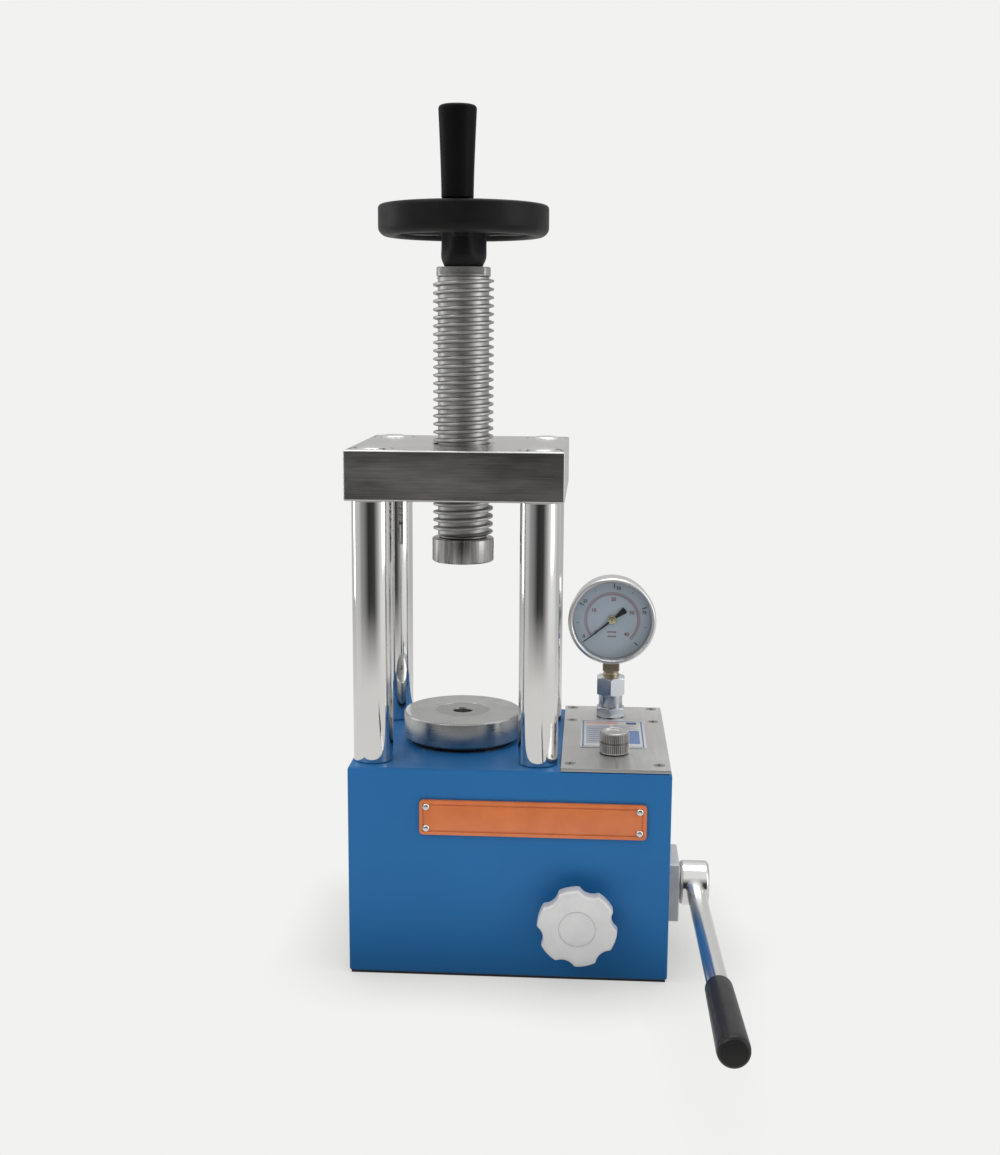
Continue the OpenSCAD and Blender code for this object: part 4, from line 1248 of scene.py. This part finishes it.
def lever_line():
    """The matrix that lays local +Z along the lever, with its foot at the pivot."""
    pivot = lever_pivot()
    far = centre_of("lever_rod")
    out = Vector((0, far.y - pivot.y, far.z - pivot.z))
    tilt = math.atan2(out.z, -out.y)
    return Matrix.Translation(pivot) @ Matrix.Rotation(math.radians(90) - tilt, 4, "X")


def make_lever(polished, rod_metal, grip_rubber):
    boss = edges_of("lever_boss")
    pivot = lever_pivot()
    width = (boss[1].x - boss[0].x) / MM
    bm = lathe([
        (0, 0), (15.4, 0, 0.3), (17, 1.5, 0.8), (17, width - 1.8, 0.9), (15.2, width, 0.5), (9.4, width, 0.2),
        (9.2, width - 0.3, 0.1), (8.4, width - 0.3, 0.1), (8.2, width, 0.1), (0, width)], 0.3, 128)
    place(bm, along((1, 0, 0), (boss[0].x, pivot.y, pivot.z)))
    piece("lever_hub", bm, polished, "lever", ["lever_boss"])
    bm = lathe([(0, 10), (7, 10), (7, 321), (0, 321)], 0.4, 96)
    place(bm, lever_line())
    piece("lever_bar", bm, rod_metal, "lever", ["lever_rod"])
    bm = lathe([
        (7.02, 227, 0.1), (8.1, 227, 0.3), (8.7, 227.7, 0.4), (9.0, 250), (9.35, 285), (9.7, 315),
        (9.8, 321.6, 1.5), (9.4, 325.2, 1.8), (7.6, 326.7, 0.8), (6.6, 326.7, 0.1), (6.5, 327, 0.1),
        (0, 327)], 0.3, 96)
    place(bm, lever_line())
    piece("lever_sleeve", bm, grip_rubber, "lever", ["lever_grip"], crease=50)


# ---------------------------------------------------------------- the whole press

def paint_nodes(material, *names):
    """Gives carried-over CAD nodes their procedural material."""
    for name in names:
        mesh = nodes[name].data
        mesh.materials.clear()
        mesh.materials.append(material)


def build():
    blue = blue_paint()
    ground = ground_steel()
    lathe_z = turned_steel("turned_screw_steel", 0.42, (1.0, 0.99, 0.96), 0.36, 0.48)
    zinc = zinc_plate()
    brass = dull_brass()
    plastic = black_plastic()
    dark_steel = black_oxide()
    plain = plain_steel()
    seal = rubber()
    make_housing(blue)
    make_nameplate(orange_enamel(), polished_stainless("rivet_metal", 0.2, 0.32, 0.75))
    bar = chrome()
    for side in ("front_left", "front_right", "rear_left", "rear_right"):
        make_column("column_" + side, bar)
    make_crosshead(ground)
    make_cap_nuts(ground_steel("cap_steel", 0.66, (1, 1, 1), 0.2, 0.32))
    make_platen(turned_steel("platen_steel", 0.46, (1.0, 1.0, 0.985), 0.24, 0.36, 0.0005, 20.5 * MM))
    make_screw(lathe_z)
    make_anvil(drawn_steel("anvil_steel"))
    make_handwheel(plastic)
    make_handle(black_plastic("handle_plastic", 0.004, shine=0.06))
    make_top_plate(satin_stainless())
    make_label(
        ink("label_paper", (0.44, 0.435, 0.43)), ink("label_pale_blue", (0.29, 0.305, 0.34)),
        ink("label_blue", (0.10, 0.16, 0.31)), ink("label_dark_blue", (0.03, 0.05, 0.15)),
        ink("label_red", (0.50, 0.27, 0.24)))
    make_gauge_shell(polished_stainless("gauge_steel", 0.16, 0.24, 0.70),
        polished_stainless("bezel_steel", 0.26, 0.34, 0.66))
    make_dial(dial_face(), ink("dial_black", (0.012, 0.012, 0.014)), ink("dial_red", (0.26, 0.035, 0.04)))
    make_pointer(ink("pointer_paint", (0.010, 0.010, 0.011)), gold_brass())
    make_gauge_stem(zinc, zinc_plate("zinc_fitting", 0.56), brass)
    cap = centre_of("filler_cap")
    make_filler_cap(knurled_metal((cap.x, cap.y, 0), 10.4 * MM, 10.95 * MM))
    make_knob(silver_satin())
    make_gland(zinc)
    make_pump_block(grey_casting())
    make_lever(chrome("hub_chrome", 0.78, 0.06, 0.14), rod_chrome(),
        black_plastic("grip_rubber", 0.008, 0.34, 0.42, 900, 0.000004, 0.24))
    paint_nodes(seal, "base_pad", "ram_seal", "ram_wiper", "top_plate_gasket", "filler_seal")
    paint_nodes(plain, "bottom_cover", "cylinder_barrel", "cylinder_end_cap", "valve_block", "crank_arm",
        "shaft_washer")
    paint_nodes(dark_steel, "bottom_cover_screws", "cylinder_screws", "anvil_grub_screws", "handwheel_screw")
    paint_nodes(bar, "ram")
    paint_nodes(lathe_z, "screw_bush", "handle_spindle", "lever_shaft", "pump_plunger", "valve_spindle",
        "valve_ball", "check_valves", "pressure_pipes", "filler_neck")
    paint_nodes(polished_stainless("screw_metal", 0.24, 0.34, 0.30), "top_plate_screws")
    paint_nodes(brass, "bourdon_tube")
    paint_nodes(clear_glass(), "gauge_glass")
    paint_nodes(grey_casting(), "drain_plug")


add_camera()
add_world()
add_lights()
add_floor()
build()
scene.view_settings.view_transform = "Standard"
